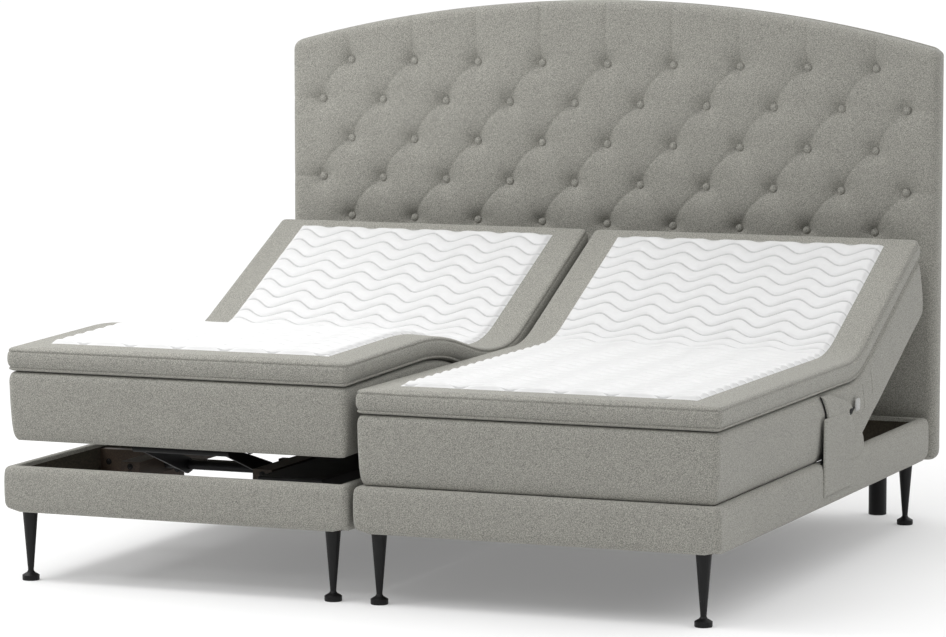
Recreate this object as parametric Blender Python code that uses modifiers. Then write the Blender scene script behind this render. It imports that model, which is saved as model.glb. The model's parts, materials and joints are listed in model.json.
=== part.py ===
"""Adjustable bed: two halves that move on their own, side by side, with one shared headboard.

Each half is an upholstered box frame on legs, a wooden carrier with a drive unit and three
lifting shafts, and four hinged sections (back, seat, thigh and calf). A section is a sprung
block with its stretch of the topper on it. The seat is fixed, and the others turn on hinge rods.

Metres, +Z up, +Y from the foot end to the head end. The origin is on the floor, under the
middle of the whole bed. The pose built here has both backs raised and one half's legs raised.
"""

import math

import bmesh
import bpy
from mathutils import Matrix, Vector

# Overall sizes
HALF_WIDTH = 1.05
BED_LENGTH = 2.00
HALVES_GAP = 0.023
LEG_HEIGHT = 0.197
FRAME_HEIGHT = 0.131
BLOCK_HEIGHT = 0.196
TOPPER_HEIGHT = 0.067
TOUCH_GAP = 0.0003

# Lengths of the moving sections, measured between hinge rods. The back takes what its lower
# corner can swing through without touching the headboard
CALF_LENGTH = 0.66
THIGH_LENGTH = 0.365
SEAT_LENGTH = 0.25
BACK_SWING_CLEARANCE = 0.0033
SECTION_CORNER = 0.03
BLOCK_INSET = 0.004
TOPPER_INSET = 0.002

# Hinges: rods at this height above the frame's top edge
HINGE_HEIGHT = 0.160
HINGE_ROD_RADIUS = 0.006
HINGE_ROD_INSET = 0.04
HINGE_ROD_SIDES = 16
HINGE_SETBACK = 0.008

# How far each joint goes from flat, and where it is in this pose, in degrees
BACK_FULL = 65.0
THIGH_FULL = 30.0
CALF_PER_THIGH = 1.104
RELIEF_MARGIN = 2.0
BACK_REST = 25.0
THIGH_REST = {"left": 13.5, "right": 0.0}

# Box frame
RAIL_THICKNESS = 0.028
RAIL_CORNER = 0.025
LEDGE_WIDTH = 0.030
LEDGE_HEIGHT = 0.040
LEDGE_BEVEL = 0.002

# Wooden carrier of the drive
BEAM_WIDTH = 0.060
BEAM_HEIGHT = 0.048
BEAM_TOP_BELOW_FRAME_TOP = 0.018
BEAM_START = 0.32
INNER_BEAM_X = 0.127
OUTER_BEAM_X = -0.290
CROSS_BOARD_START = 0.54
CROSS_BOARD_THICKNESS = 0.030
CROSS_BOARD_CHEEK = 0.020
NECK_BOTTOM_BELOW_FRAME_TOP = 0.060
NECK_TOP_BELOW_FRAME_TOP = 0.036
NOTCH_CLEARANCE = 0.0005

# Drive unit
DRIVE_WIDTH = 0.200
DRIVE_START = 0.22
DRIVE_END = 1.40
DRIVE_DEPTH = 0.090
DRIVE_TOP_BELOW_BEAM_TOP = 0.004
DRIVE_STEP_CLEARANCE = 0.010
DRIVE_BEVEL = 0.004

# Lifting shafts. A shaft's angle from level is its flat angle plus its share of its section's angle.
# An arm's bow is how far its middle sags, which keeps it clear of its section's lower corner
SHAFT_RADIUS = 0.014
SHAFT_CLEARANCE = 0.0012
SHAFT_DROP = 0.043
SHAFT_SIDES = 20
SHAFT_IN_DRIVE = 0.160
GLIDE_RADIUS = 0.016
GLIDE_OVERHANG = 0.020
ARM_THICKNESS = 0.007
ARM_SPREAD = 0.26
ARM_MIDDLE_X = -0.060
ARM_HEEL = 0.026
ARM_HEEL_DEPTH = 0.013
ARM_ROOT_BELOW = 0.026
ARM_ROOT_ABOVE = 0.021
ARM_WAIST_DEPTH = 0.0175
ARM_WAIST_AT = 0.55
ARM_TIP_DEPTH = 0.011
BACK_SHAFT = {"offset": 0.040, "arm": 0.300, "bow": 0.034, "flat": 4.9, "share": 0.760}
THIGH_SHAFT = {"offset": 0.100, "arm": 0.200, "bow": 0.0, "flat": 7.3, "share": 1.220}
CALF_SHAFT = {"offset": 0.530, "arm": 0.320, "bow": 0.0, "flat": 3.3, "share": 0.985}

# Legs of the frames
LEG_INSET_X = 0.0575
LEG_INSET_Y = 0.0445
LEG_TOP_RADIUS = 0.022
LEG_NECK_RADIUS = 0.0083
LEG_NECK_HEIGHT = 0.028
LEG_DISC_RADIUS = 0.0245
LEG_DISC_HEIGHT = 0.0145
LEG_COLLAR_FLARE = 0.003
LEG_COLLAR_DROP = 0.0055
LEG_DISC_CROWN = 0.002
LEG_DISC_BEVEL = 0.0015
LEG_STEPS = 20

# Headboard
HEADBOARD_GAP = 0.008
HEADBOARD_OVERHANG = 0.0105
HEADBOARD_BOTTOM = 0.192
HEADBOARD_SHOULDER = 1.453
HEADBOARD_CROWN = 1.593
HEADBOARD_CORNER = 0.03
PADDING_THICKNESS = 0.065
BOARD_THICKNESS = 0.0247
POST_RADIUS = 0.028
POST_HEIGHT = 0.55
POST_SPACING = 1.732
POST_SIDES = 28
POST_BEVEL = 0.002
CROWN_STEPS = 24

# Shared by every piece
CORNER_STEPS = 4
MERGE_DISTANCE = 0.00001
SMOOTH_UP_TO = math.radians(35)

# Places worked out from the sizes above
FRAME_TOP = LEG_HEIGHT + FRAME_HEIGHT
BLOCK_BOTTOM = FRAME_TOP + TOUCH_GAP
BLOCK_TOP = BLOCK_BOTTOM + BLOCK_HEIGHT
TOPPER_BOTTOM = BLOCK_TOP + TOUCH_GAP
TOPPER_TOP = TOPPER_BOTTOM + TOPPER_HEIGHT
HINGE_Z = FRAME_TOP + HINGE_HEIGHT
KNEE_AT = CALF_LENGTH
THIGH_HINGE_AT = KNEE_AT + THIGH_LENGTH
BACK_HINGE_AT = THIGH_HINGE_AT + SEAT_LENGTH
BEAM_TOP = FRAME_TOP - BEAM_TOP_BELOW_FRAME_TOP
BEAM_BOTTOM = BEAM_TOP - BEAM_HEIGHT
SHAFT_Z = FRAME_TOP - SHAFT_DROP
HEADBOARD_AT = BED_LENGTH + HEADBOARD_GAP
BACK_SWING_RADIUS = HEADBOARD_AT - BACK_HINGE_AT - BACK_SWING_CLEARANCE
BACK_LENGTH = math.sqrt(BACK_SWING_RADIUS**2 - (HINGE_Z - BLOCK_BOTTOM) ** 2)
BOARD_AT = HEADBOARD_AT + PADDING_THICKNESS + TOUCH_GAP
POST_AT = BOARD_AT + BOARD_THICKNESS + TOUCH_GAP + POST_RADIUS
OVERALL_LENGTH = POST_AT + POST_RADIUS
HALF_CENTRES = {
    "left": -(HALVES_GAP + HALF_WIDTH) / 2,
    "right": (HALVES_GAP + HALF_WIDTH) / 2,
}
OUTER_SIDE = {"left": -1, "right": 1}


def along(distance):
    """World Y of a place this far from the foot end."""
    return distance - OVERALL_LENGTH / 2


def clear_scene():
    for obj in list(bpy.data.objects):
        bpy.data.objects.remove(obj, do_unlink=True)


def new_collection(name):
    collection = bpy.data.collections.new(name)
    bpy.context.scene.collection.children.link(collection)
    return collection


def new_material(name, colour, roughness, metallic=0.0):
    material = bpy.data.materials.new(name)
    material.use_nodes = True
    shader = material.node_tree.nodes["Principled BSDF"]
    shader.inputs["Base Color"].default_value = (*colour, 1.0)
    shader.inputs["Roughness"].default_value = roughness
    shader.inputs["Metallic"].default_value = metallic
    return material


def add_object(name, mesh, material, parent=None, rounded=False):
    """A named part of the bed, with its mesh given in its parent's frame."""
    obj = bpy.data.objects.new(name, mesh)
    obj.data.materials.append(material)
    PARTS.objects.link(obj)
    obj.parent = parent
    if rounded:
        mesh.shade_smooth()
        mesh.set_sharp_from_angle(angle=SMOOTH_UP_TO)
    return obj


def add_cutter(name, mesh, parent=None):
    obj = bpy.data.objects.new(name, mesh)
    CUTTERS.objects.link(obj)
    obj.parent = parent
    obj.hide_render = True
    obj.display_type = "WIRE"
    return obj


def add_pivot(name, y, z, degrees, x=0.0):
    """An empty on a joint's axis, turned about +X."""
    pivot = bpy.data.objects.new(name, None)
    PARTS.objects.link(pivot)
    pivot.location = (x, y, z)
    pivot.rotation_euler = (math.radians(degrees), 0.0, 0.0)
    return pivot


def boolean(obj, operation, other):
    modifier = obj.modifiers.new(other.name, "BOOLEAN")
    modifier.operation = operation
    modifier.object = other


def bevel(obj, width, segments=2):
    modifier = obj.modifiers.new("edge", "BEVEL")
    modifier.width = width
    modifier.segments = segments
    modifier.limit_method = "ANGLE"


def box_mesh(name, low, high):
    mesh = bpy.data.meshes.new(name)
    work = bmesh.new()
    bmesh.ops.create_cube(work, size=1.0)
    low, high = Vector(low), Vector(high)
    size = high - low
    bmesh.ops.scale(work, vec=size, verts=work.verts)
    bmesh.ops.translate(work, vec=(low + high) / 2, verts=work.verts)
    work.to_mesh(mesh)
    work.free()
    return mesh


def rod_mesh(name, radius, start, end, sides):
    """A plain round rod from one point to another."""
    mesh = bpy.data.meshes.new(name)
    start, end = Vector(start), Vector(end)
    turn = (end - start).to_track_quat("Z", "Y").to_matrix().to_4x4()
    work = bmesh.new()
    bmesh.ops.create_cone(
        work, cap_ends=True, segments=sides, radius1=radius, radius2=radius, depth=(end - start).length,
        matrix=Matrix.Translation((start + end) / 2) @ turn,
    )
    work.to_mesh(mesh)
    work.free()
    return mesh


# How a drawn outline stands: its own axes across, up and through, as world axes
SIDE_VIEW = Matrix(((0, 0, 1), (1, 0, 0), (0, 1, 0)))
FRONT_VIEW = Matrix(((1, 0, 0), (0, 0, -1), (0, 1, 0)))
PLAN_VIEW = Matrix.Identity(3)


def outline_mesh(name, points, view, start, end):
    """A flat outline pushed through from start to end, along the view's third axis."""
    curve = bpy.data.curves.new(name, "CURVE")
    curve.dimensions = "2D"
    curve.fill_mode = "BOTH"
    curve.extrude = abs(end - start) / 2
    spline = curve.splines.new("POLY")
    spline.points.add(len(points) - 1)
    for point, (across, up) in zip(spline.points, points):
        point.co = (across, up, 0.0, 1.0)
    spline.use_cyclic_u = True
    drawn = bpy.data.objects.new(name + "_outline", curve)
    CUTTERS.objects.link(drawn)
    graph = bpy.context.evaluated_depsgraph_get()
    mesh = bpy.data.meshes.new_from_object(drawn.evaluated_get(graph))
    mesh.name = name
    bpy.data.objects.remove(drawn, do_unlink=True)
    work = bmesh.new()
    work.from_mesh(mesh)
    bmesh.ops.remove_doubles(work, verts=work.verts, dist=MERGE_DISTANCE)
    bmesh.ops.translate(work, vec=(0, 0, (start + end) / 2), verts=work.verts)
    bmesh.ops.transform(work, matrix=view.to_4x4(), verts=work.verts)
    bmesh.ops.recalc_face_normals(work, faces=work.faces)
    work.to_mesh(mesh)
    work.free()
    return mesh


def turned_object(name, profile, material, x, y):
    """A round piece from its profile, which runs down its outer side from the axis to the axis."""
    mesh = bpy.data.meshes.new(name)
    work = bmesh.new()
    verts = [work.verts.new((radius, 0.0, z)) for radius, z in profile]
    for first, second in zip(verts, verts[1:]):
        work.edges.new((first, second))
    work.to_mesh(mesh)
    work.free()
    obj = add_object(name, mesh, material)
    obj.location = (x, y, 0.0)
    screw = obj.modifiers.new("turn", "SCREW")
    screw.steps = LEG_STEPS
    screw.render_steps = LEG_STEPS
    screw.use_merge_vertices = True
    screw.merge_threshold = 0.0001
    return obj


def rounded_corner(corner, inward_1, inward_2, radius):
    """Points of a quarter round that replaces a square corner."""
    centre = Vector(corner) + radius * (Vector(inward_1) + Vector(inward_2))
    points = []
    for step in range(CORNER_STEPS + 1):
        angle = math.pi / 2 * step / CORNER_STEPS
        outward = math.cos(angle) * Vector(inward_1) + math.sin(angle) * Vector(inward_2)
        points.append(centre - radius * outward)
    return [tuple(point) for point in points]


# ---- Box frame, its ledges and its legs ----


def make_frame(side, centre):
    left, right = centre - HALF_WIDTH / 2, centre + HALF_WIDTH / 2
    front, back = along(0.0), along(BED_LENGTH)
    foot = [(left, front + RAIL_THICKNESS)]
    foot += rounded_corner((left, front), (1, 0), (0, 1), RAIL_CORNER)
    foot += rounded_corner((right, front), (0, 1), (-1, 0), RAIL_CORNER)
    foot += [(right, front + RAIL_THICKNESS)]
    mesh = outline_mesh("foot_rail", foot, PLAN_VIEW, LEG_HEIGHT, FRAME_TOP)
    add_object(f"foot_rail_{side}", mesh, UPHOLSTERY, rounded=True)
    head_low = (left, back - RAIL_THICKNESS, LEG_HEIGHT)
    add_object(f"head_rail_{side}", box_mesh("head_rail", head_low, (right, back, FRAME_TOP)), UPHOLSTERY)
    rail_start = front + RAIL_THICKNESS + TOUCH_GAP
    rail_end = back - RAIL_THICKNESS - TOUCH_GAP
    outward = OUTER_SIDE[side]
    for name, inward in (("outer", -outward), ("inner", outward)):
        face = centre - inward * HALF_WIDTH / 2
        inner_face = face + inward * RAIL_THICKNESS
        low = (min(face, inner_face), rail_start, LEG_HEIGHT)
        high = (max(face, inner_face), rail_end, FRAME_TOP)
        add_object(f"{name}_side_rail_{side}", box_mesh("side_rail", low, high), UPHOLSTERY)
        ledge_face = inner_face + inward * TOUCH_GAP
        ledge_faces = sorted((ledge_face, ledge_face + inward * LEDGE_WIDTH))
        low = (ledge_faces[0], rail_start, LEG_HEIGHT)
        high = (ledge_faces[1], rail_end, LEG_HEIGHT + LEDGE_HEIGHT)
        ledge = add_object(f"{name}_ledge_{side}", box_mesh("ledge", low, high), WOOD)
        bevel(ledge, LEDGE_BEVEL, 1)


def make_legs(side, centre):
    top = LEG_HEIGHT - TOUCH_GAP
    profile = [
        (0.0, top),
        (LEG_TOP_RADIUS, top),
        (LEG_NECK_RADIUS, LEG_NECK_HEIGHT),
        (LEG_NECK_RADIUS + LEG_COLLAR_FLARE, LEG_NECK_HEIGHT - LEG_COLLAR_DROP),
        (LEG_DISC_RADIUS - LEG_COLLAR_FLARE, LEG_DISC_HEIGHT + LEG_DISC_CROWN),
        (LEG_DISC_RADIUS, LEG_DISC_HEIGHT),
        (LEG_DISC_RADIUS, LEG_DISC_BEVEL),
        (LEG_DISC_RADIUS - LEG_DISC_BEVEL, 0.0),
        (0.0, 0.0),
    ]
    reach_x = HALF_WIDTH / 2 - LEG_INSET_X
    outward = OUTER_SIDE[side]
    for end, y in (("foot", along(LEG_INSET_Y)), ("head", along(BED_LENGTH - LEG_INSET_Y))):
        for place, x in (("outer", centre + outward * reach_x), ("inner", centre - outward * reach_x)):
            leg = turned_object(f"{end}_{place}_leg_{side}", profile, BLACK_METAL, x, y)
            leg.data.shade_smooth()


# ---- Carrier, drive unit and lifting shafts ----


def shaft_places():
    return {
        "back": BACK_HINGE_AT + BACK_SHAFT["offset"],
        "thigh": THIGH_HINGE_AT - THIGH_SHAFT["offset"],
        "calf": THIGH_HINGE_AT - CALF_SHAFT["offset"],
    }


def bore_for_shafts(obj, centre, radius):
    """Cuts a running hole through a piece for each of the three shafts."""
    for name, distance in shaft_places().items():
        reach = HALF_WIDTH / 2
        start = (centre - reach, along(distance), SHAFT_Z)
        end = (centre + reach, along(distance), SHAFT_Z)
        cutter = add_cutter(f"{name}_bore_in_{obj.name}", rod_mesh("bore", radius, start, end, SHAFT_SIDES))
        boolean(obj, "DIFFERENCE", cutter)


def make_carrier(side, centre):
    hole = SHAFT_RADIUS + SHAFT_CLEARANCE
    rear = along(BED_LENGTH) - RAIL_THICKNESS - TOUCH_GAP
    for name, offset in (("inner", INNER_BEAM_X), ("outer", OUTER_BEAM_X)):
        low = (centre + offset - BEAM_WIDTH / 2, along(BEAM_START), BEAM_BOTTOM)
        high = (centre + offset + BEAM_WIDTH / 2, rear, BEAM_TOP)
        beam = add_object(f"{name}_drive_beam_{side}", box_mesh("beam", low, high), WOOD)
        bore_for_shafts(beam, centre, hole)
    drive_left = INNER_BEAM_X + BEAM_WIDTH / 2 + TOUCH_GAP
    drive_right = drive_left + DRIVE_WIDTH
    make_cross_board(side, centre, drive_right)
    make_drive_unit(side, centre + drive_left, centre + drive_right, centre)


def make_cross_board(side, centre, drive_right):
    """A board on edge across the ledges, notched for both beams and for the drive unit's front.

    Between the beams it narrows to a neck, which clears the calf's shaft and its arms.
    """
    reach = HALF_WIDTH / 2 - RAIL_THICKNESS - 2 * TOUCH_GAP
    bottom = LEG_HEIGHT + LEDGE_HEIGHT + TOUCH_GAP
    floor_of_notch = BEAM_BOTTOM - TOUCH_GAP
    half_notch = BEAM_WIDTH / 2 + NOTCH_CLEARANCE
    neck_start = centre + OUTER_BEAM_X + half_notch + CROSS_BOARD_CHEEK
    neck_end = centre + INNER_BEAM_X - half_notch - CROSS_BOARD_CHEEK
    neck_bottom = FRAME_TOP - NECK_BOTTOM_BELOW_FRAME_TOP
    neck_top = FRAME_TOP - NECK_TOP_BELOW_FRAME_TOP
    points = [
        (centre - reach, bottom),
        (neck_start, bottom),
        (neck_start, neck_bottom),
        (neck_end, neck_bottom),
        (neck_end, bottom),
        (centre + reach, bottom),
        (centre + reach, BEAM_TOP),
        (centre + drive_right + NOTCH_CLEARANCE, BEAM_TOP),
        (centre + drive_right + NOTCH_CLEARANCE, floor_of_notch),
        (centre + INNER_BEAM_X - half_notch, floor_of_notch),
        (centre + INNER_BEAM_X - half_notch, BEAM_TOP),
        (neck_end, BEAM_TOP),
        (neck_end, neck_top),
        (neck_start, neck_top),
        (neck_start, BEAM_TOP),
        (centre + OUTER_BEAM_X + half_notch, BEAM_TOP),
        (centre + OUTER_BEAM_X + half_notch, floor_of_notch),
        (centre + OUTER_BEAM_X - half_notch, floor_of_notch),
        (centre + OUTER_BEAM_X - half_notch, BEAM_TOP),
        (centre - reach, BEAM_TOP),
    ]
    near, far = along(CROSS_BOARD_START), along(CROSS_BOARD_START + CROSS_BOARD_THICKNESS)
    mesh = outline_mesh("cross_board", points, FRONT_VIEW, -near, -far)
    add_object(f"cross_board_{side}", mesh, WOOD)


def make_drive_unit(side, left, right, centre):
    top = BEAM_TOP - DRIVE_TOP_BELOW_BEAM_TOP
    step_at = CROSS_BOARD_START + CROSS_BOARD_THICKNESS + DRIVE_STEP_CLEARANCE
    points = [
        (along(DRIVE_START), BEAM_BOTTOM),
        (along(step_at), BEAM_BOTTOM),
        (along(step_at), top - DRIVE_DEPTH),
        (along(DRIVE_END), top - DRIVE_DEPTH),
        (along(DRIVE_END), top),
        (along(DRIVE_START), top),
    ]
    mesh = outline_mesh("drive_unit", points, SIDE_VIEW, left, right)
    unit = add_object(f"drive_unit_{side}", mesh, BLACK_PLASTIC)
    bevel(unit, DRIVE_BEVEL)
    bore_for_shafts(unit, centre, SHAFT_RADIUS + SHAFT_CLEARANCE)


def arm_outline(length, bow, towards):
    """The side of a lift arm: deep at the shaft and narrow at the glide, which lies towards +Y or -Y."""
    waist = length * ARM_WAIST_AT
    points = [
        (-ARM_HEEL, -ARM_HEEL_DEPTH),
        (0.0, -ARM_ROOT_BELOW),
        (waist, -ARM_WAIST_DEPTH - bow),
        (length + ARM_TIP_DEPTH, -ARM_TIP_DEPTH),
        (length + ARM_TIP_DEPTH, ARM_TIP_DEPTH),
        (waist, ARM_WAIST_DEPTH - bow),
        (0.0, ARM_ROOT_ABOVE),
        (-ARM_HEEL, ARM_HEEL_DEPTH),
    ]
    return [(towards * across, up) for across, up in points]


def make_shaft(name, side, centre, distance, spec, towards, section_angle):
    """One shaft with two arms and the glide bar that bears on its section from below."""
    degrees = towards * (spec["flat"] + spec["share"] * section_angle)
    pivot = add_pivot(f"{name}_shaft_axis_{side}", along(distance), SHAFT_Z, degrees, centre)
    start = OUTER_BEAM_X - BEAM_WIDTH / 2
    end = INNER_BEAM_X + BEAM_WIDTH / 2 + SHAFT_IN_DRIVE
    mesh = rod_mesh("shaft", SHAFT_RADIUS, (start, 0, 0), (end, 0, 0), SHAFT_SIDES)
    shaft = add_object(f"{name}_lift_shaft_{side}", mesh, BLACK_METAL, pivot, rounded=True)
    for number, offset in enumerate((-ARM_SPREAD / 2, ARM_SPREAD / 2)):
        near = ARM_MIDDLE_X + offset - ARM_THICKNESS / 2
        outline = arm_outline(spec["arm"], spec["bow"], towards)
        mesh = outline_mesh("arm", outline, SIDE_VIEW, near, near + ARM_THICKNESS)
        boolean(shaft, "UNION", add_cutter(f"{name}_arm_{number}_{side}", mesh, pivot))
    reach = ARM_SPREAD / 2 + GLIDE_OVERHANG
    tip = towards * spec["arm"]
    ends = [(ARM_MIDDLE_X + across, tip, 0) for across in (-reach, reach)]
    mesh = rod_mesh("glide", GLIDE_RADIUS, *ends, SHAFT_SIDES)
    boolean(shaft, "UNION", add_cutter(f"{name}_glide_{side}", mesh, pivot))


def make_lifts(side, centre):
    places = shaft_places()
    thigh = THIGH_REST[side]
    make_shaft("back", side, centre, places["back"], BACK_SHAFT, 1, BACK_REST)
    make_shaft("thigh", side, centre, places["thigh"], THIGH_SHAFT, -1, thigh)
    make_shaft("calf", side, centre, places["calf"], CALF_SHAFT, -1, thigh)


# ---- Hinged sections ----


def end_face(at, towards, bottom, top, above=0.0, below=0.0):
    """Points up one end face of a section, which leans away from the hinge above and below its axis.

    towards is +1 where the section lies on the hinge's +Y side. above and below are the leans in
    degrees. bottom and top are heights from the hinge's axis.
    """
    lean_above, lean_below = math.tan(math.radians(above)), math.tan(math.radians(below))
    heights = [bottom, 0.0, top] if bottom < 0.0 < top else [bottom, top]
    points = []
    for height in heights:
        lean = max(0.0, height) * lean_above + max(0.0, -height) * lean_below
        points.append((at + towards * (HINGE_SETBACK + lean), height))
    return points


def section_outlines(bottom, top, corner):
    """Each section's side view when it lies flat, from its own hinge: (Y, Z) pairs."""
    back_lean = BACK_FULL / 2 + RELIEF_MARGIN
    thigh_lean = THIGH_FULL / 2 + RELIEF_MARGIN
    knee_lean = THIGH_FULL * CALF_PER_THIGH / 2 + RELIEF_MARGIN
    foot = BLOCK_INSET - CALF_LENGTH
    head_corner = [(BACK_LENGTH, bottom)]
    foot_corner = [(foot, bottom)]
    if corner:
        head_corner = rounded_corner((BACK_LENGTH, bottom), (0, 1), (-1, 0), corner)
        foot_corner = rounded_corner((foot, bottom), (1, 0), (0, 1), corner)
    return {
        "back": end_face(0.0, 1, bottom, top, above=back_lean)[::-1] + head_corner + [(BACK_LENGTH, top)],
        "seat": end_face(-SEAT_LENGTH, 1, bottom, top, above=thigh_lean)[::-1]
        + end_face(0.0, -1, bottom, top, above=back_lean),
        "thigh": end_face(-THIGH_LENGTH, 1, bottom, top, below=knee_lean)[::-1]
        + end_face(0.0, -1, bottom, top, above=thigh_lean),
        "calf": [(foot, top)] + foot_corner + end_face(0.0, -1, bottom, top, below=knee_lean),
    }


def make_sections(side, centre):
    thigh = THIGH_REST[side]
    knee_turn = CALF_PER_THIGH * thigh
    back_pivot = add_pivot(f"back_hinge_axis_{side}", along(BACK_HINGE_AT), HINGE_Z, BACK_REST, centre)
    seat_pivot = add_pivot(f"seat_reference_{side}", along(BACK_HINGE_AT), HINGE_Z, 0.0, centre)
    thigh_pivot = add_pivot(f"thigh_hinge_axis_{side}", along(THIGH_HINGE_AT), HINGE_Z, -thigh, centre)
    knee_pivot = add_pivot(f"knee_hinge_axis_{side}", -THIGH_LENGTH, 0.0, knee_turn)
    knee_pivot.parent = thigh_pivot
    pivots = {"back": back_pivot, "seat": seat_pivot, "thigh": thigh_pivot, "calf": knee_pivot}
    layers = (
        ("block", BLOCK_BOTTOM, BLOCK_TOP, BLOCK_INSET, UPHOLSTERY, SECTION_CORNER),
        ("topper", TOPPER_BOTTOM, TOPPER_TOP, TOPPER_INSET, TOPPER_CLOTH, 0.0),
    )
    for layer, low, high, inset, material, corner in layers:
        reach = HALF_WIDTH / 2 - inset
        outlines = section_outlines(low - HINGE_Z, high - HINGE_Z, corner)
        for section, points in outlines.items():
            mesh = outline_mesh(f"{section}_{layer}", points, SIDE_VIEW, -reach, reach)
            add_object(f"{section}_{layer}_{side}", mesh, material, pivots[section])
    reach = HALF_WIDTH / 2 - HINGE_ROD_INSET
    for name, pivot in (("back", seat_pivot), ("thigh", thigh_pivot), ("knee", knee_pivot)):
        mesh = rod_mesh("hinge_rod", HINGE_ROD_RADIUS, (-reach, 0, 0), (reach, 0, 0), HINGE_ROD_SIDES)
        add_object(f"{name}_hinge_rod_{side}", mesh, STEEL, pivot, rounded=True)


# ---- Headboard ----


def headboard_outline():
    """Front view of the headboard: straight sides, rounded shoulders and one long arc on top."""
    half = HALVES_GAP / 2 + HALF_WIDTH + HEADBOARD_OVERHANG
    rise = HEADBOARD_CROWN - HEADBOARD_SHOULDER
    radius = (half**2 + rise**2) / (2 * rise)
    middle = HEADBOARD_CROWN - radius
    edge = half - HEADBOARD_CORNER
    arc_end = math.asin(edge / radius)
    shoulder = middle + radius * math.cos(arc_end)
    round_end = rounded_corner((half, shoulder), (-1, 0), (0, -1), HEADBOARD_CORNER)[:-1]
    points = [(-half, HEADBOARD_BOTTOM), (half, HEADBOARD_BOTTOM)]
    points += round_end
    for step in range(CROWN_STEPS + 1):
        angle = arc_end * (1 - 2 * step / CROWN_STEPS)
        points.append((radius * math.sin(angle), middle + radius * math.cos(angle)))
    points += [(-x, z) for x, z in reversed(round_end)]
    return points


def make_headboard():
    start, end = along(HEADBOARD_AT), along(HEADBOARD_AT + PADDING_THICKNESS)
    mesh = outline_mesh("headboard_padding", headboard_outline(), FRONT_VIEW, -start, -end)
    add_object("headboard_padding", mesh, UPHOLSTERY, rounded=True)
    start, end = along(BOARD_AT), along(BOARD_AT + BOARD_THICKNESS)
    mesh = outline_mesh("headboard_board", headboard_outline(), FRONT_VIEW, -start, -end)
    add_object("headboard_board", mesh, UPHOLSTERY, rounded=True)
    for side, sign in OUTER_SIDE.items():
        x, y = sign * POST_SPACING / 2, along(POST_AT)
        mesh = rod_mesh("post", POST_RADIUS, (x, y, 0.0), (x, y, POST_HEIGHT), POST_SIDES)
        post = add_object(f"headboard_post_{side}", mesh, BLACK_METAL, rounded=True)
        bevel(post, POST_BEVEL)


def main():
    for side, centre in HALF_CENTRES.items():
        make_frame(side, centre)
        make_legs(side, centre)
        make_carrier(side, centre)
        make_lifts(side, centre)
        make_sections(side, centre)
    make_headboard()
    bpy.context.view_layer.update()


clear_scene()
PARTS = new_collection("adjustable_bed")
CUTTERS = new_collection("cutters")
UPHOLSTERY = new_material("grey_upholstery", (0.27, 0.27, 0.25), 0.9)
TOPPER_CLOTH = new_material("topper_cloth", (0.75, 0.75, 0.75), 0.9)
WOOD = new_material("dark_wood", (0.10, 0.06, 0.035), 0.6)
BLACK_METAL = new_material("black_metal", (0.015, 0.015, 0.016), 0.35, 0.3)
BLACK_PLASTIC = new_material("black_plastic", (0.02, 0.02, 0.022), 0.5)
STEEL = new_material("steel", (0.55, 0.55, 0.56), 0.35, 1.0)
main()
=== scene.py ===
"""Looks of an adjustable double bed: covered box frames, hinged sprung blocks, quilted toppers,
a button-tufted headboard, and the finishes of its legs, carriers and lifting shafts.

Metres, +Z up, +Y from the foot end to the head end. Soft pieces are laid out flat first, as
(outwards from the half's middle, along from its foot end, above the hinge rods), and then bent
over the hinges to where the frame rests.
"""

import json
import math

import bmesh
import bpy
import numpy as np
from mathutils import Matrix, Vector


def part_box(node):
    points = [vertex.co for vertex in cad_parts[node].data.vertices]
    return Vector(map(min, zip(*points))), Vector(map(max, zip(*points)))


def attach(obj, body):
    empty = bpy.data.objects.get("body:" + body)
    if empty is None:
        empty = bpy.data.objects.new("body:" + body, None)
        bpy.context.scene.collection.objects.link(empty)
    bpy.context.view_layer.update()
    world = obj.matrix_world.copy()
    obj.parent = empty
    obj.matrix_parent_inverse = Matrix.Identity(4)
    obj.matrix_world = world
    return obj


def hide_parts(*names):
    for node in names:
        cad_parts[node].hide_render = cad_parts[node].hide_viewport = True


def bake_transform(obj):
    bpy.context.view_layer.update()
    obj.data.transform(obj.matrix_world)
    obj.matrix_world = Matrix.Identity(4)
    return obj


bl_info = {
    "name": "Adjustable Bed Upholstery",
    "version": (1, 0, 0),
    "blender": (4, 5, 0),
    "location": "View3D > Sidebar > Bed",
    "description": "Builds the soft pieces and finishes of an adjustable bed around its frame",
    "category": "Object",
}

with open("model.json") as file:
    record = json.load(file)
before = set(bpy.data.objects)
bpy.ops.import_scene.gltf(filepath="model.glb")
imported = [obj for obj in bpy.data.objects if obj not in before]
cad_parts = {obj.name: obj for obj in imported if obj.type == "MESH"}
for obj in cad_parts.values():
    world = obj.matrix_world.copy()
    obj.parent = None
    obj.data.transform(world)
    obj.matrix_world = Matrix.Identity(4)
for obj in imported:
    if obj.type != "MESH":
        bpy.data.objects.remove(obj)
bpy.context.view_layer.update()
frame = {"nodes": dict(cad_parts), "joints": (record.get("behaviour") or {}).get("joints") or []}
JOINTS = {joint["name"]: joint for joint in frame["joints"]}
NODES = frame["nodes"]

OUTWARD = {"left": -1.0, "right": 1.0}
FOOT_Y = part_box("foot_rail_right")[0].y
BASE_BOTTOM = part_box("foot_rail_right")[0].z
BASE_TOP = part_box("foot_rail_right")[1].z
HINGE_Z = JOINTS["back_hinge_right"]["pos_m"][2]
CENTRE_X = {side: JOINTS[f"back_hinge_{side}"]["pos_m"][0] for side in OUTWARD}
BACK_AT = JOINTS["back_hinge_right"]["pos_m"][1] - FOOT_Y
THIGH_AT = JOINTS["thigh_hinge_right"]["pos_m"][1] - FOOT_Y
KNEE_AT = JOINTS["knee_hinge_right"]["pos_m"][1] - FOOT_Y

# How far the calf section folds back for each degree that the thigh section rises
CALF_PER_THIGH = 1.104

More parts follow.
